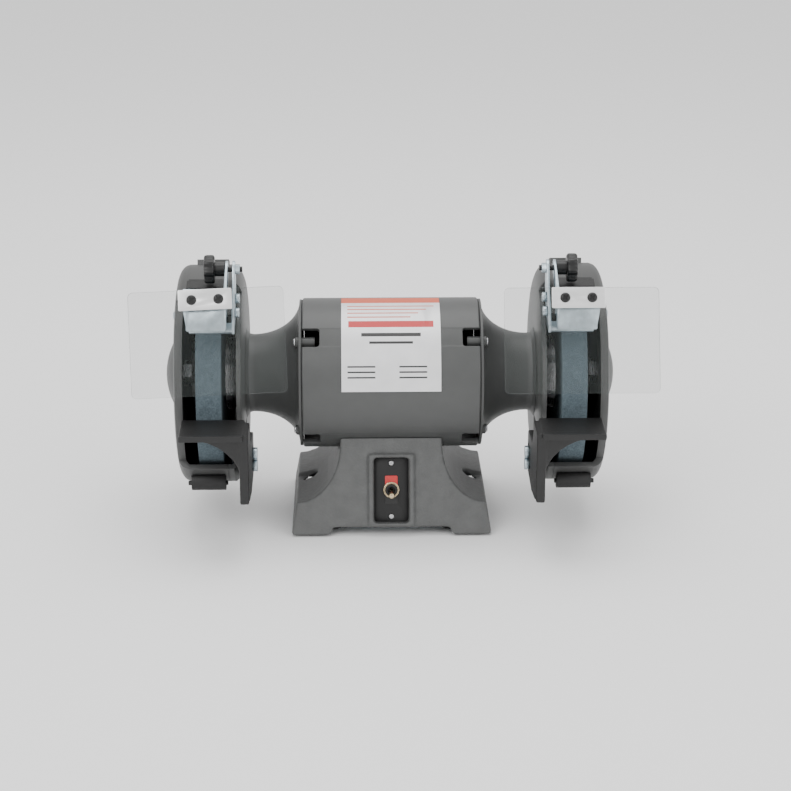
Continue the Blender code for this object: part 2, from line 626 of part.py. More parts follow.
def make_eye_shield(body, side):
    tilt = LEFT_SHIELD_TILT if side < 0 else 0.0
    pane_back = BRACKET_SHEET + GAP
    strip_back = pane_back + SHIELD_THICKNESS + GAP
    screw_z = -STRIP_HEIGHT / 2
    low, high = BRACKET_X
    holes = [circle(0.0024, 10, (x, screw_z)) for x in SHIELD_SCREWS_X]
    tilted_holes = [circle(0.0026, 10, (x, screw_z)) for x in SHIELD_SCREWS_X]

    front = [(low + 0.0005, 0.0005), (high, 0.0005), (high, -0.022), (high - 0.0035, -BRACKET_DROP)]
    front.append((low + 0.0005, -BRACKET_DROP))
    wide_holes = [circle(0.0036, 10, (x, screw_z)) for x in SHIELD_SCREWS_X]
    sheet = shield_frame(plate(front, -BRACKET_SHEET, 0, "Y", wide_holes))
    bracket = add(side_name("shield_bracket", side), sheet, "zinc", body, side)
    foot = shield_point(0.0, 0.001 - BRACKET_DROP)
    top = shield_point(0.0, -0.0005)
    lean = (Vector(foot) - Vector(top)).normalized()
    depth = Vector((lean.y * -1, lean.x))
    inset = depth * BRACKET_SHEET * 0.6
    cheek = arc(PIVOT_EAR_RADIUS, radians(-60), radians(130), 6, PIVOT)
    cheek += [tuple(Vector(top) - inset), tuple(Vector(foot) - inset), tuple(Vector(foot) + depth * 0.008)]
    cheek += [tuple(Vector(top) + lean * 0.018 + depth * 0.014)]
    flat = plate(cheek, low, low + BRACKET_SHEET, holes=(circle(PIVOT_HOLE_RADIUS, SMALL_STEPS, PIVOT),))
    combine(bracket, flat, "UNION", side)
    ear = [tuple(Vector(top) + lean * 0.0225 - depth * 0.0005), tuple(Vector(foot) - depth * 0.0005)]
    ear += [tuple(Vector(foot) + depth * 0.007), tuple(Vector(top) + lean * 0.0225 + depth * 0.009)]
    combine(bracket, plate(ear, high - 0.0045, high - 0.0025), "UNION", side)

    half_height = SHIELD_HEIGHT / 2
    pane = rounded_rectangle(SHIELD_WIDTH / 2, half_height, SHIELD_CORNER)
    pane = [(PANE_X[side] + x, z - half_height) for x, z in pane]
    mesh = plate(pane, -pane_back - SHIELD_THICKNESS, -pane_back, "Y", tilted_holes)
    add(side_name("eye_shield", side), shield_frame(mesh, tilt), "clear", body, side)

    half_width = STRIP_WIDTH / 2
    middle = (SHIELD_SCREWS_X[0] + SHIELD_SCREWS_X[1]) / 2
    strip = rounded_rectangle(half_width, STRIP_HEIGHT / 2, 0.001, 1)
    strip = [(middle + x, z - STRIP_HEIGHT / 2) for x, z in strip]
    mesh = plate(strip, -strip_back - STRIP_THICKNESS, -strip_back, "Y", holes)
    add(side_name("clamp_strip", side), shield_frame(mesh, tilt), "aluminium", body, side)


def shield_point(depth, drop):
    """Side-view point on the shield's plane, at a drop (negative) along it and a depth behind it."""
    point = Matrix.Rotation(-SHIELD_LEAN, 3, "X") @ Vector((0, depth, drop))
    return (SHIELD_TOP[0] + point.y, SHIELD_TOP[1] + point.z)


def make_knob(body, side):
    """Lobed clamp knob with its hub and stud."""
    rim = []
    steps = KNOB_LOBES * 3
    for i in range(steps):
        turn = 2 * pi * i / steps
        radius = KNOB_RADIUS - 0.0009 * (1 - cos(KNOB_LOBES * turn))
        rim.append((PIVOT[0] + radius * cos(turn), PIVOT[1] + radius * sin(turn)))
    knob = add(side_name("clamp_knob", side), plate(rim, *KNOB_X), "black_plastic", body, side)
    hub_low = BRACKET_X[0] + BRACKET_SHEET + GAP
    stem = [(0.1480, 0), (0.1480, 0.0028), (hub_low, 0.0028), (hub_low, 0.0070)]
    stem += [(KNOB_X[0] + 0.002, 0.0070), (KNOB_X[0] + 0.002, 0)]
    combine(knob, moved(turned(stem, SMALL_STEPS), (0, *PIVOT)), "UNION", side)


# Tool rest ------------------------------------------------------------------------------------------------


def make_tool_rest(body, side):
    low, high = TABLE_X
    front, back = TABLE_Y
    under = TABLE_TOP - TABLE_THICKNESS
    table = block((low, front, under), (high, back, TABLE_TOP))
    rest = add(side_name("tool_rest", side), table, "black_cast", body, side)
    slots = [
        slot((y - REST_SLOT_FRONT, z), (y + REST_SLOT_BACK, z), REST_SLOT_HALF, 4) for y, z in REST_BOLTS
    ]
    arm = [(-0.1500, TABLE_TOP - 0.001), (-0.1100, TABLE_TOP - 0.001), (-0.1020, -0.030), (-0.0900, -0.046)]
    arm += [(-0.0360, -0.052), (-0.0340, -0.094), (-0.0900, -0.0985), (-0.1300, -0.0925), (-0.1380, -0.0885)]
    arm += [(-0.1500, -0.0885)]
    combine(rest, plate(arm, *REST_ARM_X, holes=slots), "UNION", side)
    corner = (0.1985, under - 0.0005)
    toe = (REST_ARM_X[1] - 0.001, -0.0600)
    gusset = [(REST_ARM_X[0] + 0.001, -0.080), (REST_ARM_X[0] + 0.001, under + 0.002)]
    gusset.append((corner[0], under + 0.002))
    for i in range(9):
        turn = pi / 2 * i / 8
        x = corner[0] - (corner[0] - toe[0]) * sin(turn)
        gusset.append((x, toe[1] + (corner[1] - toe[1]) * cos(turn) ** 1.2))
    gusset.append((REST_ARM_X[1] - 0.001, -0.080))
    combine(rest, plate(gusset, -0.1485, -0.1405, "Y"), "UNION", side)


# Base -----------------------------------------------------------------------------------------------------


def base_half_width(height):
    """Half width of the casting at a height over the bench: straight foot, ledge, then a concave flank."""
    if height <= BASE_LEDGE_Z:
        return BASE_FOOT_HALF + (BASE_LEDGE_HALF - BASE_FOOT_HALF) * height / BASE_LEDGE_Z
    rise = min(1.0, (BASE_NECK_Z - height) / (BASE_NECK_Z - BASE_LEDGE_Z)) if height < BASE_NECK_Z else 0.0
    reach = BASE_LEDGE_HALF - BASE_NECK_HALF
    return BASE_LEDGE_HALF - reach * sqrt(1 - rise**2)


def base_depth(height):
    return BASE_FOOT_DEPTH - BASE_SLOPE * height


def lofted(levels, half_width, half_depth):
    """Closed solid through one rectangle at each height over the bench."""
    mesh = bmesh.new()
    rings = []
    for height in levels:
        w, d = half_width(height), half_depth(height)
        corners = ((w, -d), (w, d), (-w, d), (-w, -d))
        rings.append([mesh.verts.new((x, y, height - SHAFT_Z)) for x, y in corners])
    mesh.faces.new(rings[0])
    mesh.faces.new(rings[-1])
    for lower, upper in zip(rings, rings[1:]):
        for i in range(4):
            mesh.faces.new((lower[i], lower[(i + 1) % 4], upper[(i + 1) % 4], upper[i]))
    bmesh.ops.recalc_face_normals(mesh, faces=mesh.faces)
    return mesh


def flank_levels(steps=8):
    """Heights that follow the quarter-elliptical flank evenly, from the ledge to the neck."""
    drop = BASE_NECK_Z - BASE_LEDGE_Z
    return [BASE_NECK_Z - drop * cos(pi / 2 * i / steps) for i in range(steps + 1)]


def sloped(mesh, height, depth=0.0):
    """Turns a piece drawn round the origin, facing -Y, on to the base's sloping front at a height."""
    lean = atan(BASE_SLOPE)
    matrix = Matrix.Translation((0, -base_depth(height), height - SHAFT_Z)) @ Matrix.Rotation(-lean, 4, "X")
    bmesh.ops.transform(mesh, matrix=matrix @ Matrix.Translation((0, depth, 0)), verts=mesh.verts)
    return mesh


def make_base(root):
    levels = [BASE_FOOT_Z] + flank_levels() + [BASE_TOP_Z]
    base = add("base_casting", lofted(levels, base_half_width, base_depth), "cast_grey", root)
    combine(base, barrel_tool(GAP), "DIFFERENCE")
    cavity = [BASE_FOOT_Z - 0.002, BASE_LEDGE_Z - BASE_WALL]
    cavity += [z for z in flank_levels() if z > BASE_LEDGE_Z + BASE_WALL] + [BASE_TOP_Z + 0.002]
    hollow = combine(base, lofted(cavity, cavity_half_width, cavity_depth), "DIFFERENCE")
    combine(hollow, barrel_tool(BASE_WALL), "DIFFERENCE")
    rails = block((-RAIL_HALF, -0.004, RAIL_Z[0]), (RAIL_HALF, SWITCH_RECESS + 0.004, RAIL_Z[1]))
    combine(base, sloped(rails, SWITCH_Z), "UNION")
    recess = rounded_rectangle(SWITCH_HALF_WIDTH + GAP, SWITCH_HALF_HEIGHT + GAP, 0.002, 2)
    combine(base, sloped(plate(recess, -0.02, SWITCH_RECESS, "Y"), SWITCH_Z), "DIFFERENCE")
    opening = rounded_rectangle(0.0115, 0.019, 0.001, 1)
    combine(base, sloped(plate(opening, 0, 0.03, "Y"), SWITCH_Z), "DIFFERENCE")
    for cutter in base_cutters():
        combine(base, cutter, "DIFFERENCE")


def barrel_tool(clearance):
    """The motor barrel's own cylinder, grown by a clearance, across the base."""
    half = 0.12
    radius = BARREL_RADIUS + clearance
    return turned([(-half, 0), (-half, radius), (half, radius), (half, 0)], BARREL_STEPS)


def cavity_half_width(height):
    return min(base_half_width(height + BASE_WALL), base_half_width(height)) - BASE_WALL


def cavity_depth(height):
    return base_depth(height) - BASE_WALL


def base_cutters():
    """The raised middle of the foot line, each side's bolt hole, and the hole for the cable gland."""
    high = BASE_NOTCH_Z - SHAFT_Z
    low = -SHAFT_Z
    notch = [(-BASE_NOTCH_HALF - 0.005, low), (BASE_NOTCH_HALF + 0.005, low), (BASE_NOTCH_HALF, high)]
    notch.append((-BASE_NOTCH_HALF, high))
    cutters = [plate(notch, -0.12, 0.12, "Y")]
    floor = BASE_LEDGE_Z - BOLT_FACE_DEPTH - SHAFT_Z
    for side in (1, -1):
        centre = (side * BOLT_HOLE_X, 0)
        hole = circle(BOLT_HOLE_RADIUS, SMALL_STEPS, centre)
        cutters.append(plate(hole, low, BASE_LEDGE_Z + 0.01 - SHAFT_Z, "Z"))
        face = slot(centre, (side * 0.12, 0), BOLT_FACE_RADIUS)
        cutters.append(plate(face, floor, floor + 0.03, "Z"))
    gland = circle(GLAND_RADIUS + 0.0005, SMALL_STEPS, (0, GLAND_Z - SHAFT_Z))
    cutters.append(plate(gland, 0.05, 0.10, "Y"))
    return cutters


def make_base_fittings(root):
    half_width = BOTTOM_PLATE_HALF_WIDTH
    front, back = BOTTOM_PLATE_Y
    low = BOTTOM_PLATE_Z - SHAFT_Z
    sheet = block((-half_width, front, low), (half_width, back, low + BOTTOM_PLATE_SHEET))
    add("base_bottom_plate", sheet, "zinc", root)
    for row, y in (("front", -FOOT_Y), ("back", FOOT_Y)):
        for side in (1, -1):
            outline = circle(FOOT_RADIUS, SMALL_STEPS, (side * FOOT_X, y))
            foot = plate(outline, -SHAFT_Z, low - GAP, "Z")
            add(side_name(f"rubber_foot_{row}", side), foot, "rubber", root)
    can = [(-0.030, 0), (-0.030, 0.0145), (-0.0285, 0.016), (0.030, 0.016), (0.030, 0)]
    add("capacitor", moved(turned(can, 20), (0, 0.022, CAPACITOR_Z - SHAFT_Z)), "steel", root)
    bore = 0.0042
    gland = [(0.058, bore), (0.058, 0.0115), (0.062, 0.0115), (0.062, GLAND_RADIUS), (0.0810, GLAND_RADIUS)]
    gland += [(0.0810, 0.0120), (0.0855, 0.0120), (0.0855, 0.0095), (0.0930, 0.0075), (0.0960, 0.0060)]
    gland = moved(turned(gland + [(0.0960, bore)], SMALL_STEPS), turn=pi / 2, axis="Z")
    add("cable_gland", moved(gland, (0, 0, GLAND_Z - SHAFT_Z)), "black_plastic", root)


# Switch ---------------------------------------------------------------------------------------------------


def on_front(profile, steps):
    """A turned piece of the switch, its profile running along the outward normal of the base's front."""
    return sloped(moved(turned(profile, steps), turn=-pi / 2, axis="Z"), SWITCH_Z)


def make_switch(root):
    bore = BUSHING_RADIUS + GAP
    hole = circle(bore, SMALL_STEPS)
    face = rounded_rectangle(SWITCH_HALF_WIDTH, SWITCH_HALF_HEIGHT, 0.0015, 2)
    face_back = SWITCH_RECESS - GAP
    face_front = face_back - SWITCH_SHEET
    mesh = plate(face, face_front, face_back, "Y", (hole,))
    add("switch_plate", sloped(mesh, SWITCH_Z), "black_plastic", root)
    window = rounded_rectangle(0.0064, 0.0145, 0.001, 2)
    legend_back = face_front - GAP
    mesh = plate(window, legend_back - 0.0008, legend_back, "Y", (hole,))
    add("switch_indicator", sloped(mesh, SWITCH_Z), "red", root)
    nut_back = legend_back - 0.0008 - GAP
    nut = [(-nut_back, bore), (-nut_back, 0.0083), (0.001 - nut_back, 0.0083), (0.001 - nut_back, 0.0074)]
    nut += [(0.0032 - nut_back, 0.0074), (0.0032 - nut_back, bore)]
    add("switch_nut", on_front(nut, SMALL_STEPS), "brass", root)
    body = block((-0.0108, face_back + 2 * GAP, -0.0180), (0.0108, SWITCH_BODY_DEPTH, 0.0180))
    body = add("switch_body", sloped(body, SWITCH_Z), "black_plastic", root)
    neck = [(-0.016, 0), (-0.016, BUSHING_RADIUS), (0.0005, BUSHING_RADIUS), (0.0005, 0)]
    combine(body, on_front(neck, 24), "UNION")
    floor = -LEVER_PIVOT_DEPTH - 0.004
    well = [(floor, 0), (floor, 0.0042), (0.002, 0.0042), (0.002, 0)]
    combine(body, on_front(well, SMALL_STEPS), "DIFFERENCE")


def lever_pivot():
    spot = sloped(block((-0.001, -0.001, -0.001), (0.001, 0.001, 0.001)), SWITCH_Z, LEVER_PIVOT_DEPTH)
    centre = sum((vert.co for vert in spot.verts), Vector()) / len(spot.verts)
    spot.free()
    return centre


def make_lever(body):
    """Bat-shaped toggle lever, resting at its lower stop."""
    length = LEVER_LENGTH
    bat = [(-0.0022, 0), (-0.0022, 0.0018), (0.004, 0.0019), (length * 0.6, 0.0025), (length - 0.003, 0.0033)]
    bat += [(length - 0.0008, 0.0026), (length, 0)]
    mesh = moved(turned(bat, SMALL_STEPS), turn=-pi / 2, axis="Z")
    mesh = moved(mesh, turn=-LEVER_REST_ANGLE - atan(BASE_SLOPE))
    add("switch_lever", moved(mesh, lever_pivot()), "steel", body)


def main():
    clear_scene()
    root = empty("shaft_centre", (0, SHAFT_Y, SHAFT_Z))
    rotor = empty("rotor_axis", (0, 0, 0), root)
    make_motor(root)
    make_nameplate(root)
    make_rotor(rotor)
    make_base(root)
    make_base_fittings(root)
    make_switch(root)
    make_lever(empty("lever_pivot", lever_pivot(), root))
    for side in (1, -1):
        make_wheel(rotor, side)
        make_inner_guard(root, side)
        make_outer_cover(root, side)
        make_guard_trim(root, side)
        make_dust_chute(root, side)
        deflector = empty(side_name("deflector_slide", side), (side * WHEEL_X, *PIVOT), root)
        shield = empty(side_name("shield_pivot", side), (0, 0, 0), deflector)
        knob = empty(side_name("knob_axis", side), (0, 0, 0), shield)
        rest = empty(side_name("rest_slide", side), (side * REST_ARM_X[0], *REST_BOLTS[0]), root)
        make_deflector(deflector, side)
        make_eye_shield(shield, side)
        make_knob(knob, side)
        make_tool_rest(rest, side)
        deflector_fit = (DEFLECTOR_BOLTS, ARM_X[0], DEFLECTOR_STRAP_X, DEFLECTOR_BOLT_SIZES)
        bolt_pair("deflector_bolts", *deflector_fit, side, root)
        rest_fit = (REST_BOLTS, REST_ARM_X[0], REST_STRAP_X, REST_BOLT_SIZES)
        bolt_pair("tool_rest_bolts", *rest_fit, side, root)


if __name__ == "__main__":
    main()
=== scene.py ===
import json
from math import atan2, cos, pi, radians, sin, sqrt

import bmesh
import bpy
from mathutils import Matrix, Vector


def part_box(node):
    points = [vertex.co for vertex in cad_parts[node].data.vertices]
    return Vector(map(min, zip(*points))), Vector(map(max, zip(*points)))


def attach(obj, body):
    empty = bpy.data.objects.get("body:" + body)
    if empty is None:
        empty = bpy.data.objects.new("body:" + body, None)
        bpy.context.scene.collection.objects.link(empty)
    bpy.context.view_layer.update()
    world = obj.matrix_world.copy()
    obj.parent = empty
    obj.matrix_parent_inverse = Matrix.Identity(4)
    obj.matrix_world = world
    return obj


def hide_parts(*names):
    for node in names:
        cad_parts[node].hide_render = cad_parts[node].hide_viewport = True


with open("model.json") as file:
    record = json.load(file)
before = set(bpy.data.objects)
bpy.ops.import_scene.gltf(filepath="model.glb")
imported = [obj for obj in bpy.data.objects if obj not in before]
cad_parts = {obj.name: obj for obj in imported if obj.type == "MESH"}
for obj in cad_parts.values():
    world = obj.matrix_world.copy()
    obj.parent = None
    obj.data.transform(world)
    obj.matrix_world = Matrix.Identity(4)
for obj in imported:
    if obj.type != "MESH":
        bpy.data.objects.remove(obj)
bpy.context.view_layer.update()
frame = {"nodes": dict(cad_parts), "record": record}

bl_info = {
    "name": "Bench Grinder",
    "version": (1, 0, 0),
    "blender": (4, 5, 0),
    "location": "View3D > Sidebar > Grinder",
    "description": "Dresses a bench grinder's frame with castings, wheels, shields and finishes",
    "category": "Object",
}

SIDES = {"right": 1, "left": -1}
GAP = 0.0003

# The frame gives the shaft's line and the main sizes. Outlines are measured from the shaft's centre.
wheel_low, wheel_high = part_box("grinding_wheel_right")
AXIS = Vector((0, (wheel_low.y + wheel_high.y) / 2, (wheel_low.z + wheel_high.z) / 2))
WHEEL_X = (wheel_low.x, wheel_high.x)
WHEEL_RADIUS = (wheel_high.y - wheel_low.y) / 2
BARREL_RADIUS = (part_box("motor_barrel")[1].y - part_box("motor_barrel")[0].y) / 2
BARREL_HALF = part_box("motor_barrel")[1].x
GUARD_RADIUS = (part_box("inner_guard_right")[1].y - AXIS.y)
GUARD_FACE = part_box("inner_guard_right")[0].x
DOME_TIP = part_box("outer_cover_right")[1].x

# Motor
BARREL_WALL = 0.005
NOTCH_DEPTH = 0.018
NOTCH_WIDTH = 0.021
NECK_RADIUS = 0.040
NECK_START = 0.141
BELL_END = 0.1477
BOLT_CIRCLE = 0.0655
BOSS_X = (0.077, 0.0970)
BOSS_RADIUS = 0.0055
BEARING_POCKET = (0.1197, 0.1343, 0.0238)
SHAFT_CLEARANCE = 0.0125
BELL_LINING = 0.064
SHARP_ANGLE = radians(38)

# Rating plate: its span round the barrel, half its width, and its marks. A mark has its left and right,
# its lowest and highest elevation in degrees, and its ink.
PLATE_SPAN = (radians(3), radians(94))
PLATE_HALF = 0.050
PLATE_THICKNESS = 0.0008
PLATE_MARKS = [
    (-0.050, 0.050, 82, 94, "vermilion"),
    (-0.043, 0.043, 53, 59, "red"),
    (-0.030, 0.030, 45, 48, "dark"),
    (-0.022, 0.022, 39, 41, "dark"),
]
PLATE_MARKS += [(-0.044, 0.044 - 0.008 * row, 76 - 4.5 * row, 77.2 - 4.5 * row, "vermilion") for row in range(4)]
PLATE_MARKS += [
    (column, column + 0.028, 21 - 4 * row, 22.2 - 4 * row, "dark") for row in range(3) for column in (-0.044, 0.008)
]

# Wheels
WHEEL_BORE = 0.0082
WHEEL_EDGE = 0.0009

# Wheel guards
GUARD_WALL = 0.005
GUARD_SPLIT = 0.165
OPENING = (radians(-42), radians(65))
COVER_FACE = 0.2155
COVER_FRONT_RADIUS = 0.1025
DOME_RADIUS = 0.046
TOP_STRIP = (radians(103), radians(116), 0.1172)
LUG_X = (0.158, 0.162)
DEFLECTOR_BOLTS = ((-0.0600, 0.0969), (-0.0730, 0.0860))
REST_BOLTS = ((-0.0600, -0.0670), (-0.0600, -0.0800))
REST_PAD = ((-0.0985, -0.115), (-0.029, -0.038))
REST_PAD_X = 0.1505
# A tool rest's slots: front and back of the bolt's centre, half width, and the span in x that they cut.
REST_SLOT = (-0.0034, 0.0140, 0.0037)
REST_SLOT_X = (0.138, 0.1530)
# The outer cover's screws: their seat in x and the radius of their circle.
COVER_SCREWS = (0.2168, 0.0860)

# Eye shield
PIVOT = (-0.049, 0.1242)
SHIELD_LEAN = radians(22)
SHIELD_TOP = (-0.0935, 0.1155)
SHIELD_SIZE = (0.152, 0.104, 0.003)
PANE_X = {"right": 0.1860, "left": 0.1822}
SHIELD_TILT = {"right": 0.0, "left": radians(2.4)}
PANE_DEPTH = 0.0025
STRIP_SIZE = (0.0525, 0.0205, 0.0025)
STRIP_DEPTH = 0.0058
STRIP_MIDDLE = 0.1828
STRIP_SCREWS = (0.1696, 0.1960)
TILT_CENTRE_X = 0.182
KNOB_X = (0.1755, 0.1862)
KNOB_RADIUS = 0.0147
KNOB_LOBES = 8

# Base and switch
BASE_DEPTH = 0.088
BASE_SLOPE = 0.028 / 0.091
SWITCH_Z = 0.0459
SWITCH_FACE = 0.0079
SWITCH_SCREW_RISE = 0.0275

# Screw heads: radius, height and recess
BELL_SCREW = (0.0042, 0.0018, "single")
COVER_SCREW = (0.0045, 0.0020, "cross")
BAR_SCREW = (0.0050, 0.0024, "cross")
SWITCH_SCREW = (0.0028, 0.0013, "cross")

# Stage. A light has its name, place, size and power. The camera looks from its turn and rise, and its aim is
# this far right of and below the shaft's centre.
FLOOR_HALF = 8
SKY_STRENGTH = 1.1
LIGHTS = (
    ("key", (-1.3, -1.9, 1.9), 1.4, 26),
    ("fill", (1.7, -1.7, 1.2), 1.6, 14),
    ("top", (0.0, 0.4, 2.2), 1.8, 26),
)
CAMERA_TURN = radians(-1.1)
CAMERA_RISE = radians(18.5)
CAMERA_AIM = (0.0054, 0.0246)
CAMERA_LENS = 101


class GrinderSizes(bpy.types.PropertyGroup):
    """Sizes that a user would change."""

    ring_steps: bpy.props.IntProperty(
        name="Ring steps", description="Facets round each turned piece", default=128, min=32, max=256)
    edge: bpy.props.FloatProperty(
        name="Edge", description="Rounding of cut and folded edges", default=0.0005, subtype="DISTANCE", unit="LENGTH")
    cast_grain: bpy.props.FloatProperty(
        name="Casting detail", description="Smallest detail kept on the castings", default=0.0016,
        subtype="DISTANCE", unit="LENGTH")
    camera_distance: bpy.props.FloatProperty(
        name="Camera distance", description="From the camera to the shaft", default=2.30, subtype="DISTANCE",
        unit="LENGTH")


class GrinderColours(bpy.types.PropertyGroup):
    """Colours of the paints and plastics."""

    motor: bpy.props.FloatVectorProperty(
        name="Motor", description="Satin paint of the barrel", subtype="COLOR", default=(0.066, 0.068, 0.067))
    bell: bpy.props.FloatVectorProperty(
        name="End bells", description="Satin paint of the bells and inner guards", subtype="COLOR",
        default=(0.056, 0.058, 0.057))
    cover: bpy.props.FloatVectorProperty(
        name="Covers", description="Satin paint of the outer covers", subtype="COLOR", default=(0.056, 0.057, 0.056))
    base: bpy.props.FloatVectorProperty(
        name="Base", description="Rough paint of the base", subtype="COLOR", default=(0.086, 0.088, 0.087))
    wheel: bpy.props.FloatVectorProperty(
        name="Wheels", description="Abrasive grain", subtype="COLOR", default=(0.080, 0.110, 0.128))


# Mesh helpers ---------------------------------------------------------------------------------------------


def placed(axis, along, u, v):
    """A point at `along` on the axis, with u and v as its other coordinates in X, Y, Z order."""
    point = [u, v]
    point.insert("XYZ".index(axis), along)
    return Vector(point)


def arc(radius, start, end, steps, centre=(0.0, 0.0)):
    angles = [start + (end - start) * i / steps for i in range(steps + 1)]
    return [(centre[0] + radius * cos(a), centre[1] + radius * sin(a)) for a in angles]


def circle(radius, steps, centre=(0.0, 0.0), phase=0.0):
    return arc(radius, phase, phase + 2 * pi, steps, centre)[:-1]


def rounded_rectangle(half_width, half_height, corner, steps=8):
    points = []
    for quarter, (u, v) in enumerate(((1, 1), (-1, 1), (-1, -1), (1, -1))):
        centre = (u * (half_width - corner), v * (half_height - corner))
        points += arc(corner, quarter * pi / 2, (quarter + 1) * pi / 2, steps, centre)
    return points


def slot_outline(centre, front, back, half_width, steps=12):
    """A round-ended slot along y, from front to back of the bolt's centre."""
    y, z = centre
    points = []
    for middle, start in ((y + back, -pi / 2), (y + front, pi / 2)):
        turns = [start + pi * i / steps for i in range(steps + 1)]
        points += [(middle + half_width * cos(turn), z + half_width * sin(turn)) for turn in turns]
    return points


def flowing(points, steps=8):
    """A smooth line through the points."""
    line = []
    for i in range(len(points) - 1):
        a, b, c, d = (Vector(points[min(max(i + k, 0), len(points) - 1)]) for k in (-1, 0, 1, 2))
        for step in range(steps):
            t = step / steps
            spot = 2 * b + (c - a) * t + (2 * a - 5 * b + 4 * c - d) * t**2 + (3 * b - a - 3 * c + d) * t**3
            line.append(tuple(spot / 2))
    return line + [tuple(points[-1])]


def sector(low, high, start, end, steps=32):
    """Side-view outline of a piece of ring; elevation 0 is the front and 90 degrees the top."""
    angles = [start + (end - start) * i / steps for i in range(steps + 1)]
    outer = [(-high * cos(a), high * sin(a)) for a in angles]
    return outer + [(-low * cos(a), low * sin(a)) for a in reversed(angles)]


def turned(profile, steps):
    """Solid of revolution about X, from a closed profile of (x, radius) or one that ends on the axis."""
    mesh = bmesh.new()
    rings = []
    for x, radius in profile:
        turns = steps if radius > 0 else 1
        rings.append([mesh.verts.new((x, y, z)) for y, z in circle(radius, turns)])
    for first, second in zip(rings, rings[1:] + rings[:1]):
        for i in range(steps if len(first) + len(second) > 2 else 0):
            corners = [first[i % len(first)], first[(i + 1) % steps % len(first)]]
            corners += [second[(i + 1) % steps % len(second)], second[i % len(second)]]
            mesh.faces.new(list(dict.fromkeys(corners)))
    bmesh.ops.recalc_face_normals(mesh, faces=mesh.faces)
    return mesh


def plate(outline, low, high, axis="X", holes=()):
    mesh = bmesh.new()
    edges = []
    for loop in (outline, *holes):
        corners = [mesh.verts.new(placed(axis, low, u, v)) for u, v in loop]
        edges += [mesh.edges.new(pair) for pair in zip(corners, corners[1:] + corners[:1])]
    bmesh.ops.triangle_fill(mesh, use_beauty=True, edges=edges)
    grown = bmesh.ops.extrude_face_region(mesh, geom=mesh.faces[:])
    far_side = [item for item in grown["geom"] if isinstance(item, bmesh.types.BMVert)]
    bmesh.ops.translate(mesh, verts=far_side, vec=placed(axis, high - low, 0, 0))
    bmesh.ops.dissolve_limit(mesh, angle_limit=radians(0.5), verts=mesh.verts, edges=mesh.edges)
    bmesh.ops.recalc_face_normals(mesh, faces=mesh.faces)
    return mesh


def block(low, high):
    outline = [(low[1], low[2]), (high[1], low[2]), (high[1], high[2]), (low[1], high[2])]
    return plate(outline, low[0], high[0])


def transformed(mesh, matrix):
    bmesh.ops.transform(mesh, matrix=matrix, verts=mesh.verts)
    return mesh


def shifted(mesh, offset):
    return transformed(mesh, Matrix.Translation(Vector(offset)))


def linked(name, mesh):
    """A new object in the scene that holds the mesh."""
    data = bpy.data.meshes.new(name)
    mesh.to_mesh(data)
    mesh.free()
    made = bpy.data.objects.new(name, data)
    bpy.context.scene.collection.objects.link(made)
    return made


def as_object(name, mesh, side="right"):
    """Makes a mesh, drawn from the shaft's centre for the right-hand side, an object in its place."""
    if side == "left":
        bmesh.ops.scale(mesh, vec=(-1, 1, 1), verts=mesh.verts)
        bmesh.ops.reverse_faces(mesh, faces=mesh.faces)
    bmesh.ops.translate(mesh, verts=mesh.verts, vec=AXIS)
    return linked(name, mesh)


def settle(piece):
    """Turns a piece's modifiers into plain mesh."""
    graph = bpy.context.evaluated_depsgraph_get()
    graph.update()
    data = bpy.data.meshes.new_from_object(piece.evaluated_get(graph))
    piece.modifiers.clear()
    piece.data = data
    if not len(data.polygons):
        raise RuntimeError(f"{piece.name} came out empty")
    return piece


def carve(piece, tool_mesh, operation, side="right"):
    tool = as_object(f"{piece.name}_tool", tool_mesh, side)
    change = piece.modifiers.new("carve", "BOOLEAN")
    change.operation = operation
    change.object = tool
    settle(piece)
    bpy.data.objects.remove(tool, do_unlink=True)


def soften(piece, width, segments=3, angle=radians(35)):
    """Rounds every edge sharper than the angle."""
    change = piece.modifiers.new("edges", "BEVEL")
    change.width = width
    change.segments = segments
    change.limit_method = "ANGLE"
    change.angle_limit = angle
    change.use_clamp_overlap = True
    return settle(piece)


def finished(piece, paint, body, slot, *nodes):
    """Gives a piece its finish and its place in the machine."""
    piece.data.materials.clear()
    for one in paint if isinstance(paint, list) else [paint]:
        piece.data.materials.append(one)
    piece.data.shade_smooth()
    piece.data.set_sharp_from_angle(angle=SHARP_ANGLE)
    if nodes:
        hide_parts(*nodes)
    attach(piece, body)
    return piece


def node_copy(node, name):
    """A merged copy of a frame node's mesh, with its flat faces whole again."""
    mesh = bmesh.new()
    mesh.from_mesh(frame["nodes"][node].data)
    bmesh.ops.remove_doubles(mesh, verts=mesh.verts, dist=1e-6)
    bmesh.ops.dissolve_limit(mesh, angle_limit=radians(0.3), verts=mesh.verts, edges=mesh.edges)
    return linked(name, mesh)


def casting(node, name, detail, passes=6):
    """A sand casting: the node's own shape with its edges and corners run soft."""
    piece = node_copy(node, name)
    skin = piece.modifiers.new("skin", "REMESH")
    skin.mode = "VOXEL"
    skin.voxel_size = detail
    relax = piece.modifiers.new("relax", "SMOOTH")
    relax.factor = 0.5
    relax.iterations = passes
    return settle(piece)


def sizes():
    return bpy.context.scene.grinder_sizes


# Finishes -------------------------------------------------------------------------------------------------


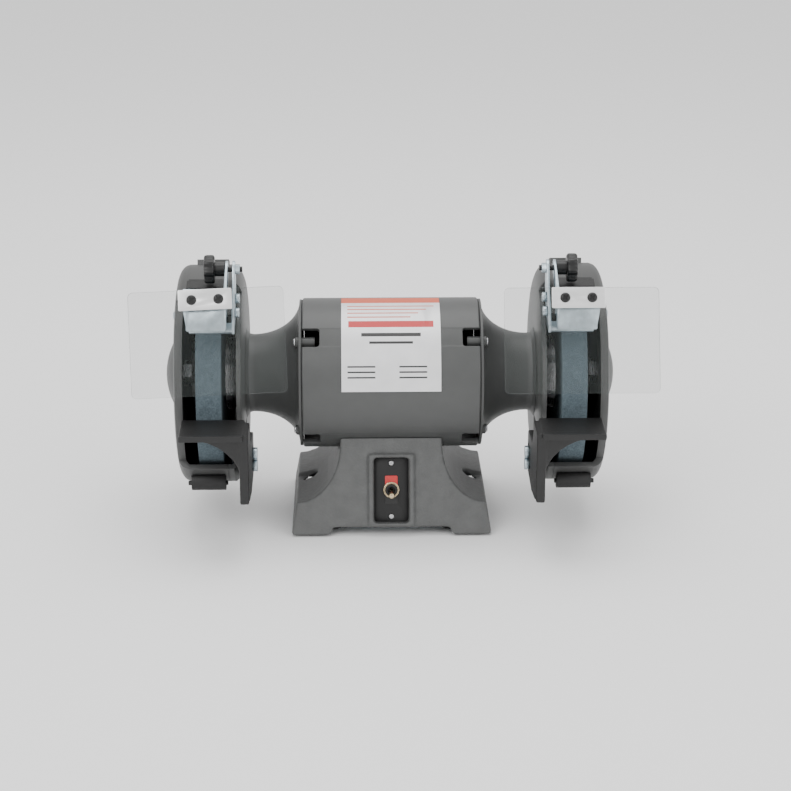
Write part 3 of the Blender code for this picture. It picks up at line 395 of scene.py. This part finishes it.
def surface(name, colour, roughness, metallic=0.0, mottle=0.10, mottle_scale=60, grain=1500, depth=0.00003,
            spread=0.08, stretch=(1, 1, 1), specks=0.0):
    """A finish whose colour drifts slowly and whose grain sets its bump and its roughness."""
    made = bpy.data.materials.new(name)
    made.use_nodes = True
    tree = made.node_tree
    shader = tree.nodes["Principled BSDF"]
    shader.inputs["Metallic"].default_value = metallic
    place = tree.nodes.new("ShaderNodeTexCoord")
    turn = tree.nodes.new("ShaderNodeMapping")
    turn.inputs["Scale"].default_value = stretch
    tree.links.new(place.outputs["Object"], turn.inputs["Vector"])
    cloud = tree.nodes.new("ShaderNodeTexNoise")
    cloud.inputs["Scale"].default_value = mottle_scale
    cloud.inputs["Detail"].default_value = 6
    fine = tree.nodes.new("ShaderNodeTexNoise")
    fine.inputs["Scale"].default_value = grain
    fine.inputs["Detail"].default_value = 4
    for noise in (cloud, fine):
        tree.links.new(turn.outputs["Vector"], noise.inputs["Vector"])
    tone = tree.nodes.new("ShaderNodeValToRGB")
    tone.color_ramp.elements[0].position = 0.3
    tone.color_ramp.elements[1].position = 0.7
    tone.color_ramp.elements[0].color = (*[c * (1 - mottle) for c in colour], 1)
    tone.color_ramp.elements[1].color = (*[min(1, c * (1 + mottle)) for c in colour], 1)
    tree.links.new(cloud.outputs["Fac"], tone.inputs["Fac"])
    last = tone.outputs["Color"]
    if specks:
        cells = tree.nodes.new("ShaderNodeTexVoronoi")
        cells.inputs["Scale"].default_value = grain * 0.8
        tree.links.new(turn.outputs["Vector"], cells.inputs["Vector"])
        shade = tree.nodes.new("ShaderNodeHueSaturation")
        level = tree.nodes.new("ShaderNodeMapRange")
        level.inputs["To Min"].default_value = 1 - specks
        level.inputs["To Max"].default_value = 1 + specks
        tree.links.new(cells.outputs["Color"], level.inputs["Value"])
        tree.links.new(level.outputs["Result"], shade.inputs["Value"])
        tree.links.new(last, shade.inputs["Color"])
        last = shade.outputs["Color"]
    tree.links.new(last, shader.inputs["Base Color"])
    rough = tree.nodes.new("ShaderNodeMapRange")
    rough.inputs["To Min"].default_value = max(0.02, roughness - spread)
    rough.inputs["To Max"].default_value = min(1.0, roughness + spread)
    tree.links.new(fine.outputs["Fac"], rough.inputs["Value"])
    tree.links.new(rough.outputs["Result"], shader.inputs["Roughness"])
    bump = tree.nodes.new("ShaderNodeBump")
    bump.inputs["Distance"].default_value = depth
    tree.links.new(fine.outputs["Fac"], bump.inputs["Height"])
    tree.links.new(bump.outputs["Normal"], shader.inputs["Normal"])
    return made


def motor_paint():
    return surface("motor_paint", bpy.context.scene.grinder_colours.motor, 0.42, mottle=0.04, grain=2200)


def bell_paint():
    return surface("bell_paint", bpy.context.scene.grinder_colours.bell, 0.45, mottle=0.04, grain=1800)


def cover_paint():
    return surface("cover_paint", bpy.context.scene.grinder_colours.cover, 0.48, mottle=0.05, grain=1600)


def base_paint():
    """Paint laid straight on sand-cast iron."""
    return surface("base_paint", bpy.context.scene.grinder_colours.base, 0.55, mottle=0.10, mottle_scale=90,
                   grain=420, depth=0.0007)


def black_cast():
    return surface("black_cast", (0.006, 0.006, 0.006), 0.5, mottle=0.2, grain=700, depth=0.00025)


def black_plastic(name="black_plastic"):
    return surface(name, (0.005, 0.005, 0.005), 0.36, mottle=0.15, grain=1600, depth=0.00004)


def foot_rubber():
    return surface("foot_rubber", (0.020, 0.020, 0.020), 0.85, mottle=0.2, grain=900, depth=0.0001)


def abrasive():
    return surface("abrasive", bpy.context.scene.grinder_colours.wheel, 0.93, mottle=0.10, mottle_scale=180,
                   grain=1100, depth=0.0006, specks=0.35)


def zinc():
    return surface("zinc", (0.50, 0.58, 0.62), 0.34, 1.0, mottle=0.16, mottle_scale=140, grain=600, depth=0.00003,
                   spread=0.14)


def satin_aluminium():
    return surface("satin_aluminium", (0.82, 0.82, 0.82), 0.36, 1.0, mottle=0.05, grain=900, depth=0.00002,
                   spread=0.12, stretch=(0.08, 1, 1))


def bright_steel():
    return surface("bright_steel", (0.55, 0.55, 0.56), 0.28, 1.0, mottle=0.06, grain=800, spread=0.1,
                   stretch=(1, 0.1, 0.1))


def brass_nickel():
    return surface("brass_nickel", (0.62, 0.50, 0.32), 0.27, 1.0, mottle=0.18, mottle_scale=500, grain=1500)


def copper():
    return surface("copper", (0.50, 0.22, 0.09), 0.4, 0.9, mottle=0.15, grain=1200, stretch=(1, 0.2, 0.2))


def ink(name, colour, roughness=0.4):
    return surface(name, colour, roughness, mottle=0.03, mottle_scale=200, grain=2500, depth=0.00001)


def clear_sheet(name, colour, opacity):
    """Clear plastic with the faint haze of fine scratches."""
    made = surface(name, colour, 0.10, mottle=0.02, grain=300, depth=0.000004, spread=0.05)
    made.node_tree.nodes["Principled BSDF"].inputs["Alpha"].default_value = opacity
    return made


# Motor ----------------------------------------------------------------------------------------------------


def make_barrel(paint):
    inner = BARREL_RADIUS - BARREL_WALL
    half = BARREL_HALF
    lip = arc(0.002, pi / 2, 0, 6, (half - 0.002, BARREL_RADIUS - 0.002))
    profile = [(-half, inner), (half, inner)] + lip[::-1] + [(-x, r) for x, r in lip]
    barrel = as_object("barrel_shell", turned(profile, sizes().ring_steps))
    for end in (1, -1):
        for y, z in circle(BARREL_RADIUS, 4, phase=pi / 4):
            ends = sorted((end * (half - NOTCH_DEPTH), end * (half + 0.01)))
            outline = rounded_rectangle((ends[1] - ends[0]) / 2, NOTCH_WIDTH / 2, 0.003, 5)
            outline = [((ends[0] + ends[1]) / 2 + u, v) for u, v in outline]
            mesh = plate(outline, -0.009, 0.009, "Y")
            turn = Matrix.Rotation(atan2(z, y), 4, "X")
            carve(barrel, transformed(mesh, Matrix.Translation((0, y, z)) @ turn), "DIFFERENCE")
    finished(soften(barrel, 0.0006, 2), paint, "root", "motor_paint", "motor_barrel")


def make_bell(side, paint):
    rim = BARREL_RADIUS - 0.0015
    flare = NECK_START - BARREL_HALF - 0.003
    steps = 28
    outer = [(BARREL_HALF + GAP, rim - 0.0006), (BARREL_HALF + GAP + 0.0006, rim), (BARREL_HALF + 0.003, rim)]
    for i in range(1, steps + 1):
        turn = pi / 2 * i / steps
        radius = NECK_RADIUS + (rim - NECK_RADIUS) * (1 - sin(turn))
        outer.append((NECK_START - flare * cos(turn), radius))
    outer += flowing([(BELL_END - 0.003, NECK_RADIUS + 0.001), (BELL_END, NECK_RADIUS + 0.006)], 4)
    start, end, pocket = BEARING_POCKET
    inner = [(BELL_END, SHAFT_CLEARANCE), (end, SHAFT_CLEARANCE), (end, pocket), (start, pocket)]
    inner += [(start, 0.034), (0.106, 0.040), (0.099, 0.048), (0.0915, BELL_LINING), (BARREL_HALF + GAP, BELL_LINING)]
    bell = as_object(f"bell_{side}", turned(outer + inner, sizes().ring_steps), side)
    for spot in circle(BOLT_CIRCLE, 4, phase=pi / 4):
        low, high = BOSS_X
        boss = [(low, 0), (high, 0), (high, BOSS_RADIUS - 0.001), (high - 0.001, BOSS_RADIUS), (low, BOSS_RADIUS)]
        carve(bell, shifted(turned(boss, 32), (0, *spot)), "UNION", side)
    finished(bell, paint, "root", "bell_paint", f"end_bell_{side}")


def make_nameplate(paints):
    """A rolled foil plate with plain bands and rules printed on it."""
    low = BARREL_RADIUS + GAP
    high = low + PLATE_THICKNESS
    xs = sorted({-PLATE_HALF, PLATE_HALF, *(m[0] for m in PLATE_MARKS), *(m[1] for m in PLATE_MARKS)})
    angles = {*PLATE_SPAN, *(radians(d) for m in PLATE_MARKS for d in m[2:4])}
    angles |= {radians(d) for d in range(4, 94, 3)}
    angles = sorted(angles)
    mesh = bmesh.new()
    grid = {}
    for level, radius in enumerate((low, high)):
        for i, x in enumerate(xs):
            for j, angle in enumerate(angles):
                grid[level, i, j] = mesh.verts.new((x, -radius * cos(angle), radius * sin(angle)))
    inks = ["foil", "vermilion", "red", "dark"]
    for i in range(len(xs) - 1):
        for j in range(len(angles) - 1):
            mesh.faces.new([grid[0, i, j], grid[0, i, j + 1], grid[0, i + 1, j + 1], grid[0, i + 1, j]])
            face = mesh.faces.new([grid[1, i, j], grid[1, i + 1, j], grid[1, i + 1, j + 1], grid[1, i, j + 1]])
            x, angle = (xs[i] + xs[i + 1]) / 2, (angles[j] + angles[j + 1]) / 2
            for left, right, under, over, mark in PLATE_MARKS:
                if left < x < right and radians(under) < angle < radians(over):
                    face.material_index = inks.index(mark)
    boundary = [edge for edge in mesh.edges if edge.is_boundary]
    bmesh.ops.bridge_loops(mesh, edges=boundary)
    bmesh.ops.recalc_face_normals(mesh, faces=mesh.faces)
    plate_object = as_object("rating_plate", mesh)
    marks = [polygon.material_index for polygon in plate_object.data.polygons]
    finished(plate_object, [paints[name] for name in inks], "root", "label_foil", "nameplate")
    plate_object.data.polygons.foreach_set("material_index", marks)


# Wheels and guards ----------------------------------------------------------------------------------------


def make_wheel(side, paint):
    low, high = WHEEL_X
    bore, edge = WHEEL_BORE, WHEEL_EDGE
    rim = arc(edge, pi, pi / 2, 4, (low + edge, WHEEL_RADIUS - edge))
    rim += arc(edge, pi / 2, 0, 4, (high - edge, WHEEL_RADIUS - edge))
    wheel = as_object(f"wheel_{side}", turned(rim + [(high, bore), (low, bore)], sizes().ring_steps), side)
    finished(wheel, paint, "rotor", "abrasive_grit", f"grinding_wheel_{side}")


def make_inner_guard(side, paint):
    face, split = GUARD_FACE, GUARD_SPLIT
    inside, band = face + GUARD_WALL, GUARD_RADIUS - GUARD_WALL
    shoulder = [(face, 0.086), (face + 0.0015, 0.096), (face + 0.005, 0.105), (face + 0.011, GUARD_RADIUS)]
    profile = [(face, SHAFT_CLEARANCE)] + flowing(shoulder, 6)
    profile += [(split, GUARD_RADIUS), (split, band), (inside + 0.007, band), (inside + 0.004, 0.1000)]
    profile += [(inside + 0.001, 0.0970), (inside + 0.001, 0.070), (inside + 0.003, 0.070)]
    profile += [(inside + 0.003, 0.058), (inside, 0.058), (inside, SHAFT_CLEARANCE)]
    guard = as_object(f"guard_{side}", turned(profile, sizes().ring_steps), side)
    carve(guard, plate(sector(0.050, 0.150, *OPENING), LUG_X[0] - 0.0005, 0.180), "DIFFERENCE", side)
    edge = sector(0.0975, 0.150, OPENING[0], radians(74))
    carve(guard, plate(edge, face + 0.002, LUG_X[0]), "DIFFERENCE", side)
    holes = [circle(0.0033, 20, centre) for centre in DEFLECTOR_BOLTS]
    lug = sector(0.1052, 0.119, radians(46.6), radians(69), 12)
    carve(guard, plate(lug, *LUG_X, holes=holes), "UNION", side)
    (front, under), (back, over) = REST_PAD
    carve(guard, block((face - 0.002, front, under), (REST_PAD_X, back, over)), "DIFFERENCE", side)
    for centre in REST_BOLTS:
        carve(guard, plate(circle(0.0031, 20, centre), face, split + 0.005), "DIFFERENCE", side)
    finished(soften(guard, sizes().edge, 2), paint, "root", "bell_paint", f"inner_guard_{side}")


def make_cover(side, paint):
    split = GUARD_SPLIT + GAP
    face, band = COVER_FACE, GUARD_RADIUS - GUARD_WALL
    sagitta = DOME_TIP - face + 0.0015
    ball = (DOME_RADIUS**2 + sagitta**2) / (2 * sagitta)
    radii = [DOME_RADIUS * (1 - i / 20) for i in range(21)]
    dome = [(DOME_TIP - ball + sqrt(ball**2 - r**2), r) for r in radii]
    shoulder = [(0.2050, GUARD_RADIUS), (0.2100, 0.1100), (0.2140, 0.1050), (0.2165, 0.0970), (0.2170, 0.0860)]
    profile = [(split, band), (split, GUARD_RADIUS)] + flowing(shoulder + [(face + 0.0005, 0.0560), dome[0]], 6)
    profile += dome[1:] + [(DOME_TIP - 0.0035, 0), (0.2235, 0.0200), (0.2115, 0.0420), (0.2110, 0.0560)]
    profile += [(0.2125, 0.0860), (0.2105, 0.0990), (0.2040, band)]
    cover = as_object(f"cover_{side}", turned(profile, sizes().ring_steps), side)
    carve(cover, plate(sector(0.050, 0.150, *OPENING), 0.150, 0.2035), "DIFFERENCE", side)
    front = sector(COVER_FRONT_RADIUS, 0.150, OPENING[0], radians(62))
    carve(cover, plate(front, 0.202, 0.225), "DIFFERENCE", side)
    strip = sector(GUARD_RADIUS - 0.001, TOP_STRIP[2], *TOP_STRIP[:2], 8)
    carve(cover, plate(strip, 0.1660, 0.1980), "UNION", side)
    finished(soften(cover, sizes().edge, 2), paint, "root", "cover_paint", f"outer_cover_{side}")


# Eye shields ----------------------------------------------------------------------------------------------


def shield_place(side):
    """From a piece drawn flat, top edge at z 0 and back at y 0, to the leaning shield plane."""
    pivot = Matrix.Translation((TILT_CENTRE_X, 0, 0))
    lean = Matrix.Translation((0, *SHIELD_TOP)) @ Matrix.Rotation(-SHIELD_LEAN, 4, "X")
    return lean @ pivot @ Matrix.Rotation(SHIELD_TILT[side], 4, "Y") @ pivot.inverted()


def make_shield(side, sheet, rim):
    width, height, thickness = SHIELD_SIZE
    outline = rounded_rectangle(width / 2, height / 2, 0.005, 10)
    outline = [(PANE_X[side] + x, z - height / 2) for x, z in outline]
    holes = [circle(0.0026, 20, (x, -STRIP_SIZE[1] / 2)) for x in STRIP_SCREWS]
    mesh = plate(outline, -PANE_DEPTH - thickness, -PANE_DEPTH, "Y", holes)
    pane = as_object(f"shield_pane_{side}", transformed(mesh, shield_place(side)), side)
    soften(pane, 0.0004, 2)
    normal = across(side, shield_place(side).to_3x3() @ Vector((0, -1, 0)))
    edges = [int(abs(polygon.normal.dot(normal)) < 0.8) for polygon in pane.data.polygons]
    finished(pane, [sheet, rim], f"shield_{side}", "clear_shield", f"eye_shield_{side}")
    pane.data.polygons.foreach_set("material_index", edges)


def make_strip(side, paint):
    width, height, thickness = STRIP_SIZE
    outline = [(STRIP_MIDDLE + x, z - height / 2) for x, z in rounded_rectangle(width / 2, height / 2, 0.0012, 4)]
    holes = [circle(0.0024, 20, (x, -height / 2)) for x in STRIP_SCREWS]
    mesh = plate(outline, -STRIP_DEPTH - thickness, -STRIP_DEPTH, "Y", holes)
    strip = as_object(f"clamp_bar_{side}", transformed(mesh, shield_place(side)), side)
    finished(soften(strip, 0.0004, 3), paint, f"shield_{side}", "satin_aluminium", f"clamp_strip_{side}")


def make_knob(side, paint):
    """Lobed knob with a domed face, its hub and its stud."""
    steps = KNOB_LOBES * 12
    mesh = bmesh.new()
    low, high = KNOB_X
    rings = []
    levels = [(low, 0.88), (low + 0.0008, 0.97), (low + 0.002, 1.0), (high - 0.003, 1.0), (high - 0.001, 0.96)]
    for x, scale in levels + [(high - 0.0002, 0.86), (high, 0.60)]:
        ring = []
        for i in range(steps):
            turn = 2 * pi * i / steps
            radius = scale * (KNOB_RADIUS - 0.0009 * (1 - cos(KNOB_LOBES * turn)))
            ring.append(mesh.verts.new((x, PIVOT[0] + radius * cos(turn), PIVOT[1] + radius * sin(turn))))
        rings.append(ring)
    for first, second in zip(rings, rings[1:]):
        for i in range(steps):
            mesh.faces.new([first[i], first[(i + 1) % steps], second[(i + 1) % steps], second[i]])
    mesh.faces.new(rings[0])
    mesh.faces.new(rings[-1])
    bmesh.ops.recalc_face_normals(mesh, faces=mesh.faces)
    knob = as_object(f"knob_{side}", mesh, side)
    stem = [(0.1480, 0), (0.1480, 0.0028), (0.1648, 0.0028), (0.1648, 0.0064), (0.1654, 0.0070)]
    stem += [(low + 0.002, 0.0070), (low + 0.002, 0)]
    carve(knob, shifted(turned(stem, 48), (0, *PIVOT)), "UNION", side)
    finished(knob, paint, f"knob_{side}", "black_plastic", f"clamp_knob_{side}")


# Screws ---------------------------------------------------------------------------------------------------


def pan_head(radius, height, recess):
    """A screw head standing on the origin along +Z, with a crossed or single recess in its top."""
    dome = [(height * sin(pi / 2 * i / 8), radius * (1 - 0.45 * (1 - cos(pi / 2 * i / 8)))) for i in range(9)]
    head = turned([(-0.0004, 0), (-0.0004, radius)] + dome + [(height, 0)], 32)
    head = as_object("head", shifted(transformed(head, Matrix.Rotation(-pi / 2, 4, "Y")), -AXIS))
    reach = radius * 0.62
    for turn in ((0, pi / 2) if recess == "cross" else (0,)):
        slot = block((-reach, -radius * 0.11, height * 0.45), (reach, radius * 0.11, height * 2))
        slot = transformed(slot, Matrix.Rotation(turn + pi / 5, 4, "Z"))
        carve(head, shifted(slot, -AXIS), "DIFFERENCE")
    head.data.shade_smooth()
    head.data.set_sharp_from_angle(angle=SHARP_ANGLE)
    return head


def screw_tree():
    """Stands one screw on each point, along the point's own direction."""
    tree = bpy.data.node_groups.new("Screws on points", "GeometryNodeTree")
    face = tree.interface
    face.new_socket("Geometry", in_out="INPUT", socket_type="NodeSocketGeometry")
    face.new_socket("Screw", in_out="INPUT", socket_type="NodeSocketObject")
    face.new_socket("Size", in_out="INPUT", socket_type="NodeSocketFloat").default_value = 1.0
    face.new_socket("Finish", in_out="INPUT", socket_type="NodeSocketMaterial")
    face.new_socket("Geometry", in_out="OUTPUT", socket_type="NodeSocketGeometry")
    inputs = tree.nodes.new("NodeGroupInput")
    outputs = tree.nodes.new("NodeGroupOutput")
    screw = tree.nodes.new("GeometryNodeObjectInfo")
    points = tree.nodes.new("GeometryNodeMeshToPoints")
    heading = tree.nodes.new("GeometryNodeInputNamedAttribute")
    heading.data_type = "FLOAT_VECTOR"
    heading.inputs["Name"].default_value = "heading"
    align = tree.nodes.new("FunctionNodeAlignRotationToVector")
    stand = tree.nodes.new("GeometryNodeInstanceOnPoints")
    real = tree.nodes.new("GeometryNodeRealizeInstances")
    paint = tree.nodes.new("GeometryNodeSetMaterial")
    link = tree.links.new
    link(inputs.outputs["Geometry"], points.inputs["Mesh"])
    link(points.outputs["Points"], stand.inputs["Points"])
    link(inputs.outputs["Screw"], screw.inputs["Object"])
    link(screw.outputs["Geometry"], stand.inputs["Instance"])
    link(heading.outputs["Attribute"], align.inputs["Vector"])
    link(align.outputs["Rotation"], stand.inputs["Rotation"])
    link(inputs.outputs["Size"], stand.inputs["Scale"])
    link(stand.outputs["Instances"], real.inputs["Geometry"])
    link(real.outputs["Geometry"], paint.inputs["Geometry"])
    link(inputs.outputs["Finish"], paint.inputs["Material"])
    link(paint.outputs["Geometry"], outputs.inputs["Geometry"])
    return tree


def screws(name, spots, head, paint, body, slot):
    """One piece of like screws: spots are (point, direction) in the machine's own frame."""
    data = bpy.data.meshes.new(name)
    data.from_pydata([tuple(point) for point, _ in spots], [], [])
    heading = data.attributes.new("heading", "FLOAT_VECTOR", "POINT")
    heading.data.foreach_set("vector", [number for _, way in spots for number in way])
    piece = bpy.data.objects.new(name, data)
    bpy.context.scene.collection.objects.link(piece)
    tree = bpy.data.node_groups.get("Screws on points") or screw_tree()
    change = piece.modifiers.new("screws", "NODES")
    change.node_group = tree
    keys = {item.name: item.identifier for item in tree.interface.items_tree if item.in_out == "INPUT"}
    change[keys["Screw"]] = head
    change[keys["Size"]] = 1.0
    change[keys["Finish"]] = paint
    settle(piece)
    finished(piece, paint, body, slot)


def across(side, point):
    """A right-hand point or direction, mirrored for the left."""
    return Vector((SIDES[side] * point[0], point[1], point[2]))


def front_point(side_x, up):
    """A point on the switch plate, and the plate's outward direction."""
    lean = Matrix.Rotation(-atan2(BASE_SLOPE, 1), 4, "X")
    foot = Vector((0, AXIS.y - BASE_DEPTH + BASE_SLOPE * SWITCH_Z, SWITCH_Z))
    spot = foot + lean @ Vector((side_x, SWITCH_FACE, up))
    return spot, lean @ Vector((0, -1, 0))


# Operators ------------------------------------------------------------------------------------------------


class GRINDER_OT_stage(bpy.types.Operator):
    """Pale floor, soft light and the camera"""

    bl_idname = "grinder.stage"
    bl_label = "Stage"

    def execute(self, context):
        mesh = bmesh.new()
        bmesh.ops.create_grid(mesh, x_segments=1, y_segments=1, size=FLOOR_HALF)
        floor = linked("floor", mesh)
        floor.data.materials.append(surface("floor_paper", (0.95, 0.95, 0.95), 0.9, mottle=0.005, depth=0.00001))
        world = bpy.data.worlds.new("studio")
        world.use_nodes = True
        world.node_tree.nodes["Background"].inputs["Color"].default_value = (1, 1, 1, 1)
        world.node_tree.nodes["Background"].inputs["Strength"].default_value = SKY_STRENGTH
        context.scene.world = world
        for name, place, size, power in LIGHTS:
            lamp = bpy.data.lights.new(name, "AREA")
            lamp.energy = power
            lamp.size = size
            light = bpy.data.objects.new(name, lamp)
            light.location = place
            light.rotation_euler = (AXIS - Vector(place)).to_track_quat("-Z", "Y").to_euler()
            context.scene.collection.objects.link(light)
        turn, rise = CAMERA_TURN, CAMERA_RISE
        back = Vector((sin(turn) * cos(rise), -cos(turn) * cos(rise), sin(rise)))
        up = Vector((0, sin(rise), cos(rise)))
        aim = AXIS + Vector((CAMERA_AIM[0], 0, 0)) - up * CAMERA_AIM[1]
        lens = bpy.data.cameras.new("camera")
        lens.lens = CAMERA_LENS
        camera = bpy.data.objects.new("camera", lens)
        camera.location = aim + back * context.scene.grinder_sizes.camera_distance
        camera.rotation_euler = (-back).to_track_quat("-Z", "Y").to_euler()
        context.scene.collection.objects.link(camera)
        context.scene.camera = camera
        return {"FINISHED"}


class GRINDER_OT_motor(bpy.types.Operator):
    """Motor barrel, its end bells with their bolts, and the rating plate"""

    bl_idname = "grinder.motor"
    bl_label = "Motor"

    def execute(self, context):
        make_barrel(motor_paint())
        paint, steel = bell_paint(), bright_steel()
        head = pan_head(*BELL_SCREW)
        for side in SIDES:
            make_bell(side, paint)
            spots = [
                (AXIS + across(side, (BOSS_X[1], *spot)), across(side, (1, 0, 0)))
                for spot in circle(BOLT_CIRCLE, 4, phase=pi / 4)
            ]
            screws(f"bell_bolts_{side}", spots, head, steel, "root", "bright_steel")
        bpy.data.objects.remove(head, do_unlink=True)
        foil = surface("plate_foil", (0.78, 0.78, 0.79), 0.34, 0.25, mottle=0.04, grain=2500, depth=0.00001)
        make_nameplate({"foil": foil, "vermilion": ink("plate_vermilion", (0.62, 0.10, 0.04)),
                        "red": ink("plate_red", (0.52, 0.025, 0.03)), "dark": ink("plate_dark", (0.03, 0.03, 0.03))})
        return {"FINISHED"}


class GRINDER_OT_wheels(bpy.types.Operator):
    """Grinding wheels, inner guards and outer covers"""

    bl_idname = "grinder.wheels"
    bl_label = "Wheels and guards"

    def execute(self, context):
        grit, bell, cover = abrasive(), bell_paint(), cover_paint()
        black, plated = black_cast(), zinc()
        head = pan_head(*COVER_SCREW)
        for side in SIDES:
            make_wheel(side, grit)
            make_inner_guard(side, bell)
            make_cover(side, cover)
            spots = [
                (AXIS + across(side, (COVER_SCREWS[0], *spot)), across(side, (1, 0, 0)))
                for spot in circle(COVER_SCREWS[1], 3)
            ]
            screws(f"cover_screws_{side}", spots, head, plated, "root", "zinc_plate")
            for node, name in (("guard_trim", "lip"), ("dust_chute", "chute")):
                piece = soften(node_copy(f"{node}_{side}", f"{name}_{side}"), 0.0005, 3)
                finished(piece, black, "root", "black_cast", f"{node}_{side}")
        bpy.data.objects.remove(head, do_unlink=True)
        return {"FINISHED"}


class GRINDER_OT_shields(bpy.types.Operator):
    """Eye shields with their brackets, bars, screws and knobs, and the spark deflectors"""

    bl_idname = "grinder.shields"
    bl_label = "Eye shields"

    def execute(self, context):
        plated, bar = zinc(), satin_aluminium()
        sheet = clear_sheet("shield_sheet", (0.10, 0.115, 0.11), 0.07)
        rim = clear_sheet("shield_rim", (0.16, 0.18, 0.18), 0.60)
        plastic, screw_black = black_plastic(), black_plastic("screw_black")
        head = pan_head(*BAR_SCREW)
        for side in SIDES:
            make_shield(side, sheet, rim)
            make_strip(side, bar)
            make_knob(side, plastic)
            place = shield_place(side)
            depth = -STRIP_DEPTH - STRIP_SIZE[2]
            way = place.to_3x3() @ Vector((0, -1, 0))
            spots = [
                (AXIS + across(side, place @ Vector((x, depth, -STRIP_SIZE[1] / 2))), across(side, way))
                for x in STRIP_SCREWS
            ]
            screws(f"bar_screws_{side}", spots, head, screw_black, f"shield_{side}", "black_plastic")
            for node, name, body in (
                ("shield_bracket", "bracket", f"shield_{side}"),
                ("spark_deflector", "deflector", f"deflector_{side}"),
                ("deflector_bolts", "deflector_hexes", "root"),
                ("tool_rest_bolts", "rest_hexes", "root"),
            ):
                piece = soften(node_copy(f"{node}_{side}", f"{name}_{side}"), 0.0003, 2)
                finished(piece, plated, body, "zinc_plate", f"{node}_{side}")
        bpy.data.objects.remove(head, do_unlink=True)
        return {"FINISHED"}


class GRINDER_OT_castings(bpy.types.Operator):
    """Cast base and cast tool rests"""

    bl_idname = "grinder.castings"
    bl_label = "Castings"

    def execute(self, context):
        detail = context.scene.grinder_sizes.cast_grain
        base = casting("base_casting", "base", detail)
        finished(base, base_paint(), "root", "base_paint", "base_casting")
        black = black_cast()
        for side in SIDES:
            rest = casting(f"tool_rest_{side}", f"rest_{side}", detail * 0.6, 4)
            for centre in REST_BOLTS:
                carve(rest, plate(slot_outline(centre, *REST_SLOT), *REST_SLOT_X), "DIFFERENCE", side)
            finished(rest, black, f"rest_{side}", "black_cast", f"tool_rest_{side}")
        return {"FINISHED"}


class GRINDER_OT_switch(bpy.types.Operator):
    """Toggle switch with its plate, legend, nut and screws"""

    bl_idname = "grinder.switch"
    bl_label = "Switch"

    def execute(self, context):
        plastic, metal = black_plastic("switch_black"), brass_nickel()
        for node, name, paint, body, slot in (
            ("switch_plate", "switch_face", plastic, "root", "black_plastic"),
            ("switch_nut", "switch_ring", metal, "root", "brass_nickel"),
            ("switch_lever", "toggle", metal, "toggle_lever", "brass_nickel"),
            ("cable_gland", "gland", plastic, "root", "black_plastic"),
        ):
            finished(soften(node_copy(node, name), 0.0003, 3), paint, body, slot, node)
        legend = node_copy("switch_indicator", "switch_legend")
        middle = sum(corner.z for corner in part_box("switch_indicator")) / 2
        mesh = bmesh.new()
        mesh.from_mesh(legend.data)
        everything = [*mesh.verts, *mesh.edges, *mesh.faces]
        bmesh.ops.bisect_plane(mesh, geom=everything, plane_co=(0, 0, middle), plane_no=(0, 0, 1))
        mesh.to_mesh(legend.data)
        mesh.free()
        soften(legend, 0.0002, 2)
        red, dark = ink("legend_red", (0.55, 0.03, 0.03)), ink("legend_black", (0.012, 0.012, 0.012))
        halves = [int(polygon.center.z < middle) for polygon in legend.data.polygons]
        finished(legend, [red, dark], "root", "legend_plate", "switch_indicator")
        legend.data.polygons.foreach_set("material_index", halves)
        head = pan_head(*SWITCH_SCREW)
        spots = [front_point(0, SWITCH_SCREW_RISE), front_point(0, -SWITCH_SCREW_RISE)]
        screws("switch_screws", spots, head, bright_steel(), "root", "bright_steel")
        bpy.data.objects.remove(head, do_unlink=True)
        return {"FINISHED"}


class GRINDER_OT_finishes(bpy.types.Operator):
    """Finishes of the pieces that keep the frame's own shape"""

    bl_idname = "grinder.finishes"
    bl_label = "Inner pieces"

    def execute(self, context):
        paints = {
            "zinc_plate": zinc(), "bright_steel": bright_steel(), "black_plastic": black_plastic("inner_black"),
            "foot_rubber": foot_rubber(), "copper_wire": copper(),
        }
        slots = {item["node"]: item["material_slot"] for item in frame["record"]["subparts"]}
        for name, node in frame["nodes"].items():
            if node.hide_render:
                continue
            if slots[name] not in paints:
                raise RuntimeError(f"{name} has no finish for its slot {slots[name]}")
            node.data.materials.clear()
            node.data.materials.append(paints[slots[name]])
        return {"FINISHED"}


class GRINDER_PT_panel(bpy.types.Panel):
    """Lists the steps that dress the grinder"""

    bl_idname = "GRINDER_PT_panel"
    bl_label = "Bench grinder"
    bl_space_type = "VIEW_3D"
    bl_region_type = "UI"
    bl_category = "Grinder"

    def draw(self, context):
        for group in (context.scene.grinder_sizes, context.scene.grinder_colours):
            for name in group.__annotations__:
                self.layout.prop(group, name)
        for step in STEPS:
            self.layout.operator(step.bl_idname)


STEPS = (GRINDER_OT_stage, GRINDER_OT_motor, GRINDER_OT_wheels, GRINDER_OT_shields, GRINDER_OT_castings,
         GRINDER_OT_switch, GRINDER_OT_finishes)
CLASSES = (GrinderSizes, GrinderColours, *STEPS, GRINDER_PT_panel)


def register():
    for one in CLASSES:
        bpy.utils.register_class(one)
    bpy.types.Scene.grinder_sizes = bpy.props.PointerProperty(type=GrinderSizes)
    bpy.types.Scene.grinder_colours = bpy.props.PointerProperty(type=GrinderColours)


def unregister():
    del bpy.types.Scene.grinder_sizes
    del bpy.types.Scene.grinder_colours
    for one in reversed(CLASSES):
        bpy.utils.unregister_class(one)


def main():
    register()
    bpy.ops.grinder.stage()
    bpy.ops.grinder.motor()
    bpy.ops.grinder.wheels()
    bpy.ops.grinder.shields()
    bpy.ops.grinder.castings()
    bpy.ops.grinder.switch()
    bpy.ops.grinder.finishes()


if __name__ == "__main__":
    main()
